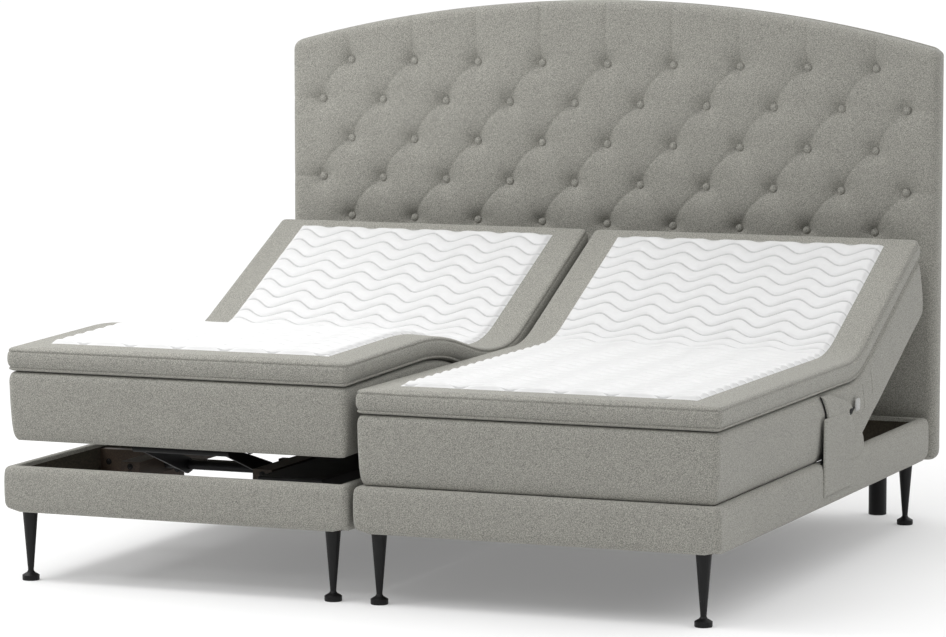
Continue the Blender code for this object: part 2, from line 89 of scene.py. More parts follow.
# Where a cover turns from one body to the next, as distances from their hinge
BACK_ZONE = (-0.08, 0.12)
THIGH_ZONE = (-0.08, 0.08)
KNEE_ZONE = (-0.07, 0.06)
# Half lengths of the soft folds at rest, at the bottom of a block and on top of a topper
BACK_FOLD = (0.04, 0.115)
THIGH_FOLD = (0.04, 0.120)
KNEE_FOLD = (0.05, 0.140)
# Where a cover is parted into stretches
SEAT_PART = 0.5 * (THIGH_AT + BACK_AT)
THIGH_PART = 0.5 * (KNEE_AT + THIGH_AT)

BLOCK_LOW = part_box("seat_block_right")[0].z - HINGE_Z
BLOCK_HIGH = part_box("seat_block_right")[1].z - HINGE_Z
TOPPER_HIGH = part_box("seat_topper_right")[1].z - HINGE_Z
BLOCK_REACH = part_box("seat_block_right")[1].x - CENTRE_X["right"]
TOPPER_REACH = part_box("seat_topper_right")[1].x - CENTRE_X["right"]
PAD_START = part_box("calf_block_right")[0].y - FOOT_Y
HEADBOARD_CLEARANCE = 0.014
PAD_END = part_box("headboard_padding")[0].y - FOOT_Y - HEADBOARD_CLEARANCE


# ---- Settings ----


class FabricSettings(bpy.types.PropertyGroup):
    """The woven cover and the white quilted cloth."""

    dark_thread: bpy.props.FloatVectorProperty(
        name="Dark thread", description="Darkest yarn of the woven cover", subtype="COLOR",
        size=3, default=(0.165, 0.163, 0.150), min=0.0, max=1.0,
    )
    light_thread: bpy.props.FloatVectorProperty(
        name="Light thread", description="Lightest yarn of the woven cover", subtype="COLOR",
        size=3, default=(0.440, 0.431, 0.384), min=0.0, max=1.0,
    )
    quilt_cloth: bpy.props.FloatVectorProperty(
        name="Quilt cloth", description="Colour of the quilted sleeping surface", subtype="COLOR",
        size=3, default=(0.72, 0.72, 0.72), min=0.0, max=1.0,
    )
    fleck: bpy.props.FloatProperty(
        name="Fleck", description="Length of one fleck of yarn", default=0.0026, unit="LENGTH",
    )
    weave_pitch: bpy.props.FloatProperty(
        name="Weave pitch", description="Distance between yarns", default=0.0016, unit="LENGTH",
    )


class TopperSettings(bpy.types.PropertyGroup):
    """The quilted panel of each topper."""

    side_border: bpy.props.FloatProperty(
        name="Side border", description="Woven border beside the panel", default=0.095, unit="LENGTH",
    )
    foot_border: bpy.props.FloatProperty(
        name="Foot border", description="Woven border at the foot end", default=0.100, unit="LENGTH",
    )
    head_border: bpy.props.FloatProperty(
        name="Head border", description="Woven border at the head end", default=0.062, unit="LENGTH",
    )
    row_spacing: bpy.props.FloatProperty(
        name="Row spacing", description="Distance between quilting lines", default=0.063, unit="LENGTH",
    )
    wave_length: bpy.props.FloatProperty(
        name="Wave length", description="Length of one wave of a quilting line", default=0.146,
        unit="LENGTH",
    )
    wave_height: bpy.props.FloatProperty(
        name="Wave height", description="Rise of a wave from trough to crest", default=0.047, unit="LENGTH",
    )
    puff: bpy.props.FloatProperty(
        name="Puff", description="Height of the filling between quilting lines", default=0.0105,
        unit="LENGTH",
    )


class HeadboardSettings(bpy.types.PropertyGroup):
    """Tufting of the headboard."""

    shoulder: bpy.props.FloatProperty(
        name="Shoulder height", description="Height of the arc at the sides", default=1.453, unit="LENGTH",
    )
    button_pitch: bpy.props.FloatProperty(
        name="Button pitch", description="Distance between buttons in a row", default=0.2194, unit="LENGTH",
    )
    top_row: bpy.props.FloatProperty(
        name="Top row", description="Height of the top row of buttons", default=1.3937, unit="LENGTH",
    )
    row_drop: bpy.props.FloatProperty(
        name="Row drop", description="Distance between rows of buttons", default=0.1261, unit="LENGTH",
    )
    button_radius: bpy.props.FloatProperty(
        name="Button radius", description="Radius of a covered button", default=0.0135, unit="LENGTH",
    )
    dimple: bpy.props.FloatProperty(
        name="Dimple", description="How deep a button pulls the cover in", default=0.029, unit="LENGTH",
    )


class StageSettings(bpy.types.PropertyGroup):
    """Camera and lights."""

    camera_place: bpy.props.FloatVectorProperty(
        name="Camera place", description="Where the camera stands", subtype="TRANSLATION",
        size=3, default=(4.5527, -11.4558, 1.9772),
    )
    camera_target: bpy.props.FloatVectorProperty(
        name="Camera target", description="The point that the camera looks at", subtype="TRANSLATION",
        size=3, default=(-0.0408, -0.0772, 0.6879),
    )
    lens: bpy.props.FloatProperty(name="Lens", description="Focal length in millimetres", default=159.83)
    overhead: bpy.props.FloatProperty(
        name="Overhead", description="Strength of the broad light from above", default=2.85,
    )
    key: bpy.props.FloatProperty(
        name="Key", description="Strength of the narrower light from the upper left", default=0.36,
    )
    headboard_power: bpy.props.FloatProperty(
        name="Headboard light", description="Power of the panel that lights the headboard", default=55.0,
        unit="POWER",
    )
    sky: bpy.props.FloatProperty(
        name="Sky", description="Light that comes evenly from all round", default=0.22,
    )


SETTINGS = {
    "bed_fabric": FabricSettings,
    "bed_topper": TopperSettings,
    "bed_headboard": HeadboardSettings,
    "bed_stage": StageSettings,
}


# ---- Node helpers ----


def add_node(tree, kind, values=None, **settings):
    """A node with its settings, and its unlinked inputs set by name or number."""
    node = tree.nodes.new(kind)
    for key, value in settings.items():
        setattr(node, key, value)
    for key, value in (values or {}).items():
        node.inputs[key].default_value = value
    return node


def link(tree, source, target):
    tree.links.new(source, target)


def math_node(tree, operation, first, second=None):
    """A Math node's result. Each operand is a socket or a number."""
    node = add_node(tree, "ShaderNodeMath", operation=operation)
    for socket, value in zip(node.inputs, (first, second)):
        if isinstance(value, (int, float)):
            socket.default_value = value
        elif value is not None:
            link(tree, value, socket)
    return node.outputs[0]


def new_material(name, roughness, metallic=0.0):
    """A material with one Principled shader. Returns the material, its tree and the shader."""
    material = bpy.data.materials.new(name)
    material.use_nodes = True
    shader = material.node_tree.nodes["Principled BSDF"]
    shader.inputs["Roughness"].default_value = roughness
    shader.inputs["Metallic"].default_value = metallic
    return material, material.node_tree, shader


def colour_ramp(tree, factor, stops):
    """A colour ramp over a factor. Each stop is a place and a colour."""
    ramp = add_node(tree, "ShaderNodeValToRGB")
    elements = ramp.color_ramp.elements
    while len(elements) < len(stops):
        elements.new(0.5)
    for element, (place, colour) in zip(elements, stops):
        element.position = place
        element.color = (*colour, 1.0)
    link(tree, factor, ramp.inputs["Fac"])
    return ramp.outputs["Color"]


def noise(tree, place, size, detail=2.0, roughness=0.5):
    """Noise whose features are about size metres across."""
    values = {"Scale": 1.0 / size, "Detail": detail, "Roughness": roughness}
    node = add_node(tree, "ShaderNodeTexNoise", values)
    link(tree, place, node.inputs["Vector"])
    return node.outputs["Fac"]


def add_bump(tree, shader, height, distance, strength=1.0):
    bump = add_node(tree, "ShaderNodeBump", {"Strength": strength, "Distance": distance})
    link(tree, height, bump.inputs["Height"])
    link(tree, bump.outputs["Normal"], shader.inputs["Normal"])


def stretched(tree, place, scale):
    """A place scaled by axis, which draws a pattern out along an axis."""
    mapping = add_node(tree, "ShaderNodeMapping", {"Scale": scale})
    link(tree, place, mapping.inputs["Vector"])
    return mapping.outputs["Vector"]


def cloth_place(tree):
    """Where a point of cloth lies on the flat piece, so that a weave bends with its cover."""
    return add_node(tree, "ShaderNodeAttribute", attribute_name="cloth_place").outputs["Vector"]


def object_place(tree):
    return add_node(tree, "ShaderNodeTexCoord").outputs["Object"]


def mixed(tree, mode, factor, first, second):
    """A Mix Colour node's result. Factor is a socket or a number."""
    node = add_node(tree, "ShaderNodeMix", data_type="RGBA", blend_type=mode)
    if isinstance(factor, (int, float)):
        node.inputs[0].default_value = factor
    else:
        link(tree, factor, node.inputs[0])
    link(tree, first, node.inputs[6])
    link(tree, second, node.inputs[7])
    return node.outputs[2]


def colour_between(tree, shader, factor, low, high):
    """Sets the base colour between two (place, colour) stops of a factor."""
    link(tree, colour_ramp(tree, factor, [low, high]), shader.inputs["Base Color"])


def grey_value(tree, factor, low, high):
    """A grey between two brightnesses, which tints a colour when multiplied."""
    return colour_ramp(tree, factor, [(0.0, (low,) * 3), (1.0, (high,) * 3)])


# ---- Materials ----


def yarn_height(tree, place, pitch):
    """Crossing yarns: one ridge a pitch, on faces that lie along any two axes."""
    waves = []
    for value in axes_of(tree, place):
        angle = math_node(tree, "MULTIPLY", value, 2.0 * math.pi / pitch)
        waves.append(math_node(tree, "SINE", angle))
    total = math_node(tree, "ADD", waves[0], waves[1])
    return math_node(tree, "ADD", total, waves[2])


def axes_of(tree, place):
    """The three parts of a place, as sockets."""
    split = add_node(tree, "ShaderNodeSeparateXYZ")
    link(tree, place, split.inputs[0])
    return [split.outputs[axis] for axis in ("X", "Y", "Z")]


def woven_cover(fabric):
    """Grey furniture fabric spun from dark and light yarns, with a dry, slightly hairy face."""
    material, tree, shader = new_material("woven_cover", 0.92)
    place = cloth_place(tree)
    turned_place = add_node(tree, "ShaderNodeMapping", {"Rotation": (0.6, 0.45, 0.3)})
    link(tree, place, turned_place.inputs["Vector"])
    flecks = noise(tree, turned_place.outputs["Vector"], fabric.fleck, 3.0, 0.62)
    dark, light = tuple(fabric.dark_thread), tuple(fabric.light_thread)
    middle = tuple((a + b) / 2 for a, b in zip(dark, light))
    yarns = colour_ramp(tree, flecks, [(0.36, dark), (0.50, middle), (0.66, light)])
    shade = grey_value(tree, noise(tree, place, 0.22, 2.0), 0.95, 1.05)
    link(tree, mixed(tree, "MULTIPLY", 1.0, yarns, shade), shader.inputs["Base Color"])
    ridges = yarn_height(tree, place, fabric.weave_pitch)
    height = math_node(tree, "ADD", math_node(tree, "MULTIPLY", ridges, 0.12), flecks)
    add_bump(tree, shader, height, 0.0009, 0.55)
    shader.inputs["Sheen Weight"].default_value = 0.16
    shader.inputs["Sheen Roughness"].default_value = 0.45
    shader.inputs["Specular IOR Level"].default_value = 0.2
    return material


# From 0, a plain sine, to 1, a zigzag
WAVE_SHARPNESS = 0.72


def quilt_share(tree, across, along, spacing, length, height):
    """How far a place is through its row of quilting, from 0 to 1. The sizes are sockets or numbers."""
    turns = math_node(tree, "DIVIDE", across, length)
    wave = math_node(tree, "SINE", math_node(tree, "MULTIPLY", turns, 2.0 * math.pi))
    slanted = math_node(tree, "ARCSINE", math_node(tree, "MULTIPLY", wave, WAVE_SHARPNESS))
    crest = math_node(tree, "DIVIDE", slanted, 2.0 * math.asin(WAVE_SHARPNESS))
    rise = math_node(tree, "MULTIPLY", crest, height)
    rows = math_node(tree, "DIVIDE", math_node(tree, "ADD", along, rise), spacing)
    return math_node(tree, "FRACT", rows)


def seam_nearness(tree, share):
    """From 0 in the middle of a row to 1 on its stitched lines."""
    doubled = math_node(tree, "MULTIPLY", share, 2.0)
    return math_node(tree, "ABSOLUTE", math_node(tree, "SUBTRACT", doubled, 1.0))


def quilt_cloth(fabric, topper):
    """Smooth white stretch cloth with a fine knit, darker along its stitched lines: the thread's own tone,
    and painted shade in the grooves.
    """
    material, tree, shader = new_material("quilt_cloth", 0.78)
    place = cloth_place(tree)
    across, along, _ = axes_of(tree, place)
    share = quilt_share(tree, across, along, topper.row_spacing, topper.wave_length, topper.wave_height)
    line = seam_nearness(tree, share)
    base = tuple(fabric.quilt_cloth)
    # Tones towards each stitched line: painted shade on the groove's shoulders, and on the line itself the
    # thread with painted shade
    worn, groove_shade, stitched = (tuple(value * tone for value in base) for tone in (0.965, 0.98, 0.90))
    cloth = colour_ramp(tree, noise(tree, place, 0.03, 3.0), [(0.3, worn), (0.7, base)])
    white = (1.0, 1.0, 1.0)
    # Painted shade and the thread darken the cloth along each stitched line
    seam = colour_ramp(tree, line, [(0.0, white), (0.82, white), (0.94, groove_shade), (1.0, stitched)])
    link(tree, mixed(tree, "MULTIPLY", 1.0, cloth, seam), shader.inputs["Base Color"])
    height = math_node(tree, "ADD", yarn_height(tree, place, 0.0022), noise(tree, place, 0.004, 2.0))
    add_bump(tree, shader, height, 0.0003, 0.35)
    shader.inputs["Sheen Weight"].default_value = 0.12
    shader.inputs["Specular IOR Level"].default_value = 0.25
    return material


def frame_lining():
    """Brown non-woven lining on the inner faces of the box frames."""
    material, tree, shader = new_material("frame_lining", 0.9)
    place = object_place(tree)
    fibres = noise(tree, stretched(tree, place, (1.0, 0.35, 1.0)), 0.005, 4.0, 0.65)
    colour_between(tree, shader, fibres, (0.3, (0.020, 0.016, 0.010)), (0.7, (0.062, 0.050, 0.032)))
    add_bump(tree, shader, fibres, 0.0006, 0.5)
    return material


def dark_wood():
    """Stained plywood with grain along the beams."""
    material, tree, shader = new_material("dark_wood", 0.55)
    place = object_place(tree)
    grain = noise(tree, stretched(tree, place, (1.0, 0.05, 1.0)), 0.0045, 5.0, 0.6)
    colour_between(tree, shader, grain, (0.3, (0.022, 0.014, 0.009)), (0.72, (0.070, 0.046, 0.029)))
    add_bump(tree, shader, grain, 0.0004, 0.4)
    return material


def black_metal():
    """Powder-coated steel, with a fine texture and scuffs that are a little glossier."""
    material, tree, shader = new_material("black_metal", 0.4)
    place = object_place(tree)
    coat = noise(tree, place, 0.0011, 2.0)
    scuffs = noise(tree, stretched(tree, place, (1.0, 1.0, 0.3)), 0.03, 4.0, 0.7)
    colour_between(tree, shader, scuffs, (0.45, (0.003, 0.003, 0.0033)), (0.75, (0.010, 0.010, 0.0105)))
    link(tree, grey_value(tree, scuffs, 0.36, 0.56), shader.inputs["Roughness"])
    add_bump(tree, shader, coat, 0.00012, 0.6)
    shader.inputs["Specular IOR Level"].default_value = 0.28
    return material


def black_plastic():
    """Moulded black housing with a grained face."""
    material, tree, shader = new_material("black_plastic", 0.55)
    place = object_place(tree)
    grain = noise(tree, place, 0.0014, 3.0)
    patches = noise(tree, place, 0.05, 3.0)
    colour_between(tree, shader, patches, (0.3, (0.010, 0.010, 0.011)), (0.7, (0.026, 0.026, 0.028)))
    add_bump(tree, shader, grain, 0.0002, 0.5)
    return material


def brushed_steel():
    """Zinc-plated rod with fine turning marks."""
    material, tree, shader = new_material("brushed_steel", 0.35, 1.0)
    place = object_place(tree)
    marks = noise(tree, stretched(tree, place, (8.0, 1.0, 1.0)), 0.004, 3.0, 0.6)
    colour_between(tree, shader, marks, (0.3, (0.42, 0.42, 0.43)), (0.7, (0.62, 0.62, 0.63)))
    link(tree, grey_value(tree, marks, 0.25, 0.5), shader.inputs["Roughness"])
    add_bump(tree, shader, marks, 0.0001, 0.4)
    return material


def black_elastic():
    """A black sheet with fine ribs: painted shade inside the slit and the pocket mouth."""
    material, tree, shader = new_material("black_elastic", 0.95)
    ribs = noise(tree, stretched(tree, cloth_place(tree), (1.0, 1.0, 6.0)), 0.006, 2.0)
    colour_between(tree, shader, ribs, (0.3, (0.004, 0.004, 0.004)), (0.7, (0.012, 0.012, 0.012)))
    add_bump(tree, shader, ribs, 0.0004, 0.5)
    return material


def white_tape():
    """Woven white tape of the loop at the pocket."""
    material, tree, shader = new_material("white_tape", 0.85)
    place = cloth_place(tree)
    threads = noise(tree, place, 0.004, 2.0)
    colour_between(tree, shader, threads, (0.3, (0.42, 0.42, 0.41)), (0.7, (0.60, 0.60, 0.59)))
    add_bump(tree, shader, yarn_height(tree, place, 0.0014), 0.0003, 0.5)
    return material


MATERIALS = {}


def make_materials(fabric, topper):
    """Every finish once, by name."""
    if MATERIALS:
        return
    MATERIALS["cover"] = woven_cover(fabric)
    MATERIALS["quilt"] = quilt_cloth(fabric, topper)
    MATERIALS["lining"] = frame_lining()
    MATERIALS["wood"] = dark_wood()
    MATERIALS["metal"] = black_metal()
    MATERIALS["plastic"] = black_plastic()
    MATERIALS["steel"] = brushed_steel()
    # Black sheet of painted shade for the slit and the pocket mouth
    MATERIALS["elastic"] = black_elastic()
    MATERIALS["tape"] = white_tape()


# ---- Mesh helpers ----


def spread(low, high, step, roll=0.0, marks=(), roll_steps=4):
    """Places from low to high about a step apart, through every mark, closer together in rolled ends."""
    ends = roll * np.tan(np.linspace(0.0, math.pi / 4, roll_steps + 1)) if roll else np.array([0.0])
    stops = sorted({low + roll, high - roll, *[m for m in marks if low + roll < m < high - roll]})
    spans = zip(stops, stops[1:])
    middle = [np.linspace(a, b, max(2, math.ceil((b - a) / step - 1e-6) + 1)) for a, b in spans]
    return np.unique(np.round(np.concatenate([low + roll - ends, *middle, high - roll + ends]), 7))


# How square a stuffed corner is in plan: 2 is a quarter circle
CORNER_POWER = 3.0


def soft_pad(across, along, corner, profile):
    """A closed pad: a grid on top, rings down its sides and strips underneath.

    The grid's corners are rounded in plan. profile lists each ring's distance out from the grid's
    edge and its height. Returns (points, faces), with the grid at height 0.
    """
    columns, rows = len(across), len(along)
    x, s = np.meshgrid(across, along)
    middle = np.array([across[0] + across[-1], along[0] + along[-1]]) / 2
    reach = np.array([across[-1] - across[0], along[-1] - along[0]]) / 2 - corner
    offset = np.stack([x, s], axis=-1) - middle
    past = np.maximum(np.abs(offset) - reach, 0.0)
    length = np.maximum(np.linalg.norm(past, axis=-1), 1e-9)
    in_corner = (past > 0).all(axis=-1)
    shrink = np.where(in_corner, past.max(axis=-1) / length, 1.0)[..., None]
    rounded = middle + np.sign(offset) * (reach + past * shrink)
    placed = np.where(past > 0, rounded, np.stack([x, s], axis=-1))
    direction = np.sign(offset) * past / length[..., None]
    fullness = np.power(np.power(np.abs(direction), CORNER_POWER).sum(axis=-1), 1.0 / CORNER_POWER)
    direction = direction / np.maximum(fullness, 1e-9)[..., None]
    loop = edge_loop(rows, columns)
    grid = np.concatenate([placed.reshape(-1, 2), np.zeros((rows * columns, 1))], axis=1)
    edge, out = grid[loop, :2], direction.reshape(-1, 2)[loop]
    rings = [np.column_stack([edge + out * far, np.full(len(loop), height)]) for far, height in profile]
    points = np.concatenate([grid, *rings])
    return points, pad_faces(rows, columns, loop, len(profile))


def edge_loop(rows, columns):
    """Numbers of the grid points round its edge: foot side, right side, head side, left side."""
    foot = [i for i in range(columns)]
    right = [j * columns + columns - 1 for j in range(1, rows)]
    head = [(rows - 1) * columns + i for i in range(columns - 2, -1, -1)]
    left = [j * columns for j in range(rows - 2, 0, -1)]
    return np.array(foot + right + head + left)


def pad_faces(rows, columns, loop, rings):
    faces = []
    for j in range(rows - 1):
        starts = range(j * columns, (j + 1) * columns - 1)
        faces += [(k, k + 1, k + columns + 1, k + columns) for k in starts]
    count = len(loop)
    ring_starts = [rows * columns + k * count for k in range(rings)]
    levels = [list(loop)] + [list(range(first, first + count)) for first in ring_starts]
    for upper, lower in zip(levels, levels[1:]):
        for n in range(count):
            after = (n + 1) % count
            faces.append((upper[n], lower[n], lower[after], upper[after]))
    last = levels[-1]
    left = [last[(count - j) % count] for j in range(rows)]
    right = [last[columns - 1 + j] for j in range(rows)]
    faces += [(left[j], left[j + 1], right[j + 1], right[j]) for j in range(rows - 1)]
    faces.append(tuple(last[columns - 1::-1]))
    head = last[columns + rows - 2: 2 * columns + rows - 2]
    faces.append(tuple(head[::-1]))
    return faces


def mesh_object(name, points, faces, materials, face_material=None, smooth=True):
    """A new object with this mesh, its materials, and a material number for each face."""
    mesh = bpy.data.meshes.new(name)
    mesh.from_pydata(points.tolist() if hasattr(points, "tolist") else points, [], faces)
    mesh.validate()
    for material in materials:
        mesh.materials.append(material)
    if face_material is not None:
        mesh.polygons.foreach_set("material_index", np.asarray(face_material, np.int32))
    mesh.polygons.foreach_set("use_smooth", [smooth] * len(mesh.polygons))
    obj = bpy.data.objects.new(name, mesh)
    bpy.context.scene.collection.objects.link(obj)
    return obj


def store_places(mesh, places):
    """Keeps each point's place on the flat piece of cloth for the weave."""
    attribute = mesh.attributes.new("cloth_place", "FLOAT_VECTOR", "POINT")
    attribute.data.foreach_set("vector", np.asarray(places, np.float32).ravel())


def mesh_points(mesh):
    points = np.empty(len(mesh.vertices) * 3, np.float32)
    mesh.vertices.foreach_get("co", points)
    return points.reshape(-1, 3).astype(float)


def vertex_normals(points, faces):
    """Smooth normals of a whole mesh, before it is parted."""
    mesh = bpy.data.meshes.new("whole")
    mesh.from_pydata(points.tolist(), [], faces)
    normals = np.empty(len(mesh.vertices) * 3, np.float32)
    mesh.vertex_normals.foreach_get("vector", normals)
    bpy.data.meshes.remove(mesh)
    return normals.reshape(-1, 3).astype(float)


def turn_outward(obj):
    """Points every face of a closed mesh outward."""
    work = bmesh.new()
    work.from_mesh(obj.data)
    bmesh.ops.recalc_face_normals(work, faces=work.faces)
    work.to_mesh(obj.data)
    work.free()


def smooth_step(value, low, high):
    share = np.clip((value - low) / (high - low), 0.0, 1.0)
    return share * share * (3.0 - 2.0 * share)


# ---- Geometry Nodes helpers ----


def new_tree(name, inputs):
    """A geometry tree with named inputs. Returns the tree, its input node and its output socket."""
    tree = bpy.data.node_groups.new(name, "GeometryNodeTree")
    tree.interface.new_socket("Geometry", in_out="INPUT", socket_type="NodeSocketGeometry")
    for label, (kind, default) in inputs.items():
        socket = tree.interface.new_socket(label, in_out="INPUT", socket_type=kind)
        if default is not None:
            socket.default_value = default
    tree.interface.new_socket("Geometry", in_out="OUTPUT", socket_type="NodeSocketGeometry")
    start = tree.nodes.new("NodeGroupInput")
    end = tree.nodes.new("NodeGroupOutput")
    return tree, start, end.inputs[0]


def finish_tree(tree, start, geometry, end):
    """Realizes instances and sets the material, which every tree here ends with."""
    realize = add_node(tree, "GeometryNodeRealizeInstances")
    paint = add_node(tree, "GeometryNodeSetMaterial")
    link(tree, geometry, realize.inputs["Geometry"])
    link(tree, realize.outputs["Geometry"], paint.inputs["Geometry"])
    link(tree, start.outputs["Material"], paint.inputs["Material"])
    link(tree, paint.outputs["Geometry"], end)
    return paint


def grow(obj, tree, values):
    """Runs a geometry tree on an object, and returns the result as a plain mesh."""
    modifier = obj.modifiers.new(tree.name, "NODES")
    modifier.node_group = tree
    sockets = {item.name: item.identifier for item in tree.interface.items_tree if item.in_out == "INPUT"}
    for label, value in values.items():
        modifier[sockets[label]] = value
    bpy.context.view_layer.update()
    graph = bpy.context.evaluated_depsgraph_get()
    mesh = bpy.data.meshes.new_from_object(obj.evaluated_get(graph))
    obj.modifiers.remove(modifier)
    return mesh


def quilting_tree():
    """Raises filling between wavy quilting lines wherever the point attribute 'panel' allows."""
    tree, start, end = new_tree("Wave Quilting", {
        "Row Spacing": ("NodeSocketFloat", 0.063),
        "Wave Length": ("NodeSocketFloat", 0.146),
        "Wave Height": ("NodeSocketFloat", 0.034),
        "Puff": ("NodeSocketFloat", 0.0075),
        "Material": ("NodeSocketMaterial", None),
    })
    split = add_node(tree, "ShaderNodeSeparateXYZ")
    link(tree, add_node(tree, "GeometryNodeInputPosition").outputs[0], split.inputs[0])
    share = quilt_share(
        tree, split.outputs["X"], split.outputs["Y"], start.outputs["Row Spacing"],
        start.outputs["Wave Length"], start.outputs["Wave Height"],
    )
    middle = seam_nearness(tree, share)
    dome = math_node(tree, "SUBTRACT", 1.0, math_node(tree, "POWER", middle, 2.4))
    puff = math_node(tree, "POWER", dome, 0.55)
    panel = add_node(tree, "GeometryNodeInputNamedAttribute", {"Name": "panel"}, data_type="FLOAT")
    allowed = math_node(tree, "MULTIPLY", puff, panel.outputs[0])
    height = math_node(tree, "MULTIPLY", allowed, start.outputs["Puff"])
    lift = add_node(tree, "ShaderNodeCombineXYZ")
    link(tree, height, lift.inputs["Z"])
    move = add_node(tree, "GeometryNodeSetPosition")
    link(tree, start.outputs["Geometry"], move.inputs["Geometry"])
    link(tree, lift.outputs[0], move.inputs["Offset"])
    paint = finish_tree(tree, start, move.outputs["Geometry"], end)
    chosen = add_node(tree, "GeometryNodeInputNamedAttribute", {"Name": "quilted"}, data_type="BOOLEAN")
    link(tree, chosen.outputs[0], paint.inputs["Selection"])
    return tree


def button_tree():
    """A fabric-covered button on each point: a dome with a slightly flattened rim."""
    tree, start, end = new_tree("Covered Buttons", {
        "Radius": ("NodeSocketFloat", 0.0118),
        "Material": ("NodeSocketMaterial", None),
    })
    dome = add_node(tree, "GeometryNodeMeshUVSphere", {"Segments": 20, "Rings": 12})
    link(tree, start.outputs["Radius"], dome.inputs["Radius"])
    flatten = add_node(tree, "GeometryNodeTransform", {"Scale": (1.0, 0.72, 1.0)})
    link(tree, dome.outputs["Mesh"], flatten.inputs["Geometry"])
    smooth = add_node(tree, "GeometryNodeSetShadeSmooth")
    link(tree, flatten.outputs["Geometry"], smooth.inputs["Geometry"])
    place = add_node(tree, "GeometryNodeInstanceOnPoints")
    link(tree, start.outputs["Geometry"], place.inputs["Points"])
    link(tree, smooth.outputs["Geometry"], place.inputs["Instance"])
    finish_tree(tree, start, place.outputs["Instances"], end)
    return tree


def stitch_tree():
    """A short slack stitch at even spaces along every edge path, lying along it."""
    tree, start, end = new_tree("Stitch Row", {
        "Pitch": ("NodeSocketFloat", 0.008),
        "Stitch Length": ("NodeSocketFloat", 0.005),
        "Thread": ("NodeSocketFloat", 0.0006),
        "Material": ("NodeSocketMaterial", None),
    })
    path = add_node(tree, "GeometryNodeMeshToCurve")
    link(tree, start.outputs["Geometry"], path.inputs["Mesh"])
    spaced = add_node(tree, "GeometryNodeCurveToPoints", mode="LENGTH")
    link(tree, path.outputs["Curve"], spaced.inputs["Curve"])
    link(tree, start.outputs["Pitch"], spaced.inputs["Length"])
    stitch = add_node(tree, "GeometryNodeMeshCylinder", {"Vertices": 6, "Side Segments": 1})
    link(tree, start.outputs["Thread"], stitch.inputs["Radius"])
    link(tree, start.outputs["Stitch Length"], stitch.inputs["Depth"])
    place = add_node(tree, "GeometryNodeInstanceOnPoints")
    link(tree, spaced.outputs["Points"], place.inputs["Points"])
    link(tree, stitch.outputs["Mesh"], place.inputs["Instance"])
    link(tree, spaced.outputs["Rotation"], place.inputs["Rotation"])
    finish_tree(tree, start, place.outputs["Instances"], end)
    return tree


def bolt_tree():
    """A domed bolt head with its washer on each point, standing along -Y."""
    tree, start, end = new_tree("Bolt Heads", {
        "Radius": ("NodeSocketFloat", 0.006),
        "Material": ("NodeSocketMaterial", None),
    })
    head = add_node(tree, "GeometryNodeMeshUVSphere", {"Segments": 12, "Rings": 8})
    link(tree, start.outputs["Radius"], head.inputs["Radius"])
    flatten = add_node(tree, "GeometryNodeTransform", {"Scale": (1.0, 0.5, 1.0)})
    link(tree, head.outputs["Mesh"], flatten.inputs["Geometry"])
    washer = add_node(tree, "GeometryNodeMeshCylinder", {"Vertices": 16, "Depth": 0.0016})
    link(tree, math_node(tree, "MULTIPLY", start.outputs["Radius"], 1.5), washer.inputs["Radius"])
    turn = add_node(tree, "GeometryNodeTransform", {"Rotation": (math.pi / 2, 0.0, 0.0)})
    link(tree, washer.outputs["Mesh"], turn.inputs["Geometry"])
    joined = add_node(tree, "GeometryNodeJoinGeometry")
    link(tree, flatten.outputs["Geometry"], joined.inputs[0])
    link(tree, turn.outputs["Geometry"], joined.inputs[0])
    place = add_node(tree, "GeometryNodeInstanceOnPoints")
    link(tree, start.outputs["Geometry"], place.inputs["Points"])
    link(tree, joined.outputs[0], place.inputs["Instance"])
    finish_tree(tree, start, place.outputs["Instances"], end)
    return tree


def grow_piece(name, points, edges, tree, values, body):
    """A piece that a geometry tree makes from loose points or edge paths, riding on a body."""
    seed = bpy.data.meshes.new(name + "_seed")
    seed.from_pydata([tuple(point) for point in points], edges, [])
    guide = bpy.data.objects.new(name + "_guide", seed)
    bpy.context.scene.collection.objects.link(guide)
    mesh = grow(guide, tree, values)
    bpy.data.objects.remove(guide, do_unlink=True)
    mesh.name = name
    piece = bpy.data.objects.new(name, mesh)
    bpy.context.scene.collection.objects.link(piece)
    store_places(mesh, mesh_points(mesh))
    if body:
        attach(piece, body)
    return piece


# ---- Bending a flat half over its hinges ----


def rest_angle(side, joint):
    """How far a section stands from flat at rest, in radians."""
    return -math.radians(JOINTS[f"{joint}_{side}"]["range_deg"][0])


def fold(points, at, hinge_at, angle, halves, foot_side_moves):
    """Turns everything past a hinge by an angle, and rounds the fold as a true arc.

    The fold is short at the bottom of a block and long on top of a topper, as halves gives.
    """
    if abs(angle) < 1e-6:
        return points
    facing = -1.0 if foot_side_moves else 1.0
    angle = angle * facing
    past = (at - hinge_at) * facing
    y, z = (points[:, 1] - hinge_at) * facing, points[:, 2]
    height = np.clip((points[:, 2] - BLOCK_LOW) / (TOPPER_HIGH - BLOCK_LOW), 0.0, 1.0)
    half = halves[0] + (halves[1] - halves[0]) * height
    radius = half / math.tan(angle / 2.0)
    arc = angle * np.clip((past + half) / (2.0 * half), 0.0, 1.0)
    arc_y = -half + (radius - z) * np.sin(arc)
    arc_z = radius - (radius - z) * np.cos(arc)
    turned_y = y * math.cos(angle) - z * math.sin(angle)
    turned_z = y * math.sin(angle) + z * math.cos(angle)
    new_y = np.where(past < -half, y, np.where(past > half, turned_y, arc_y))
    new_z = np.where(past < -half, z, np.where(past > half, turned_z, arc_z))
    return np.column_stack([points[:, 0], hinge_at + new_y * facing, new_z])


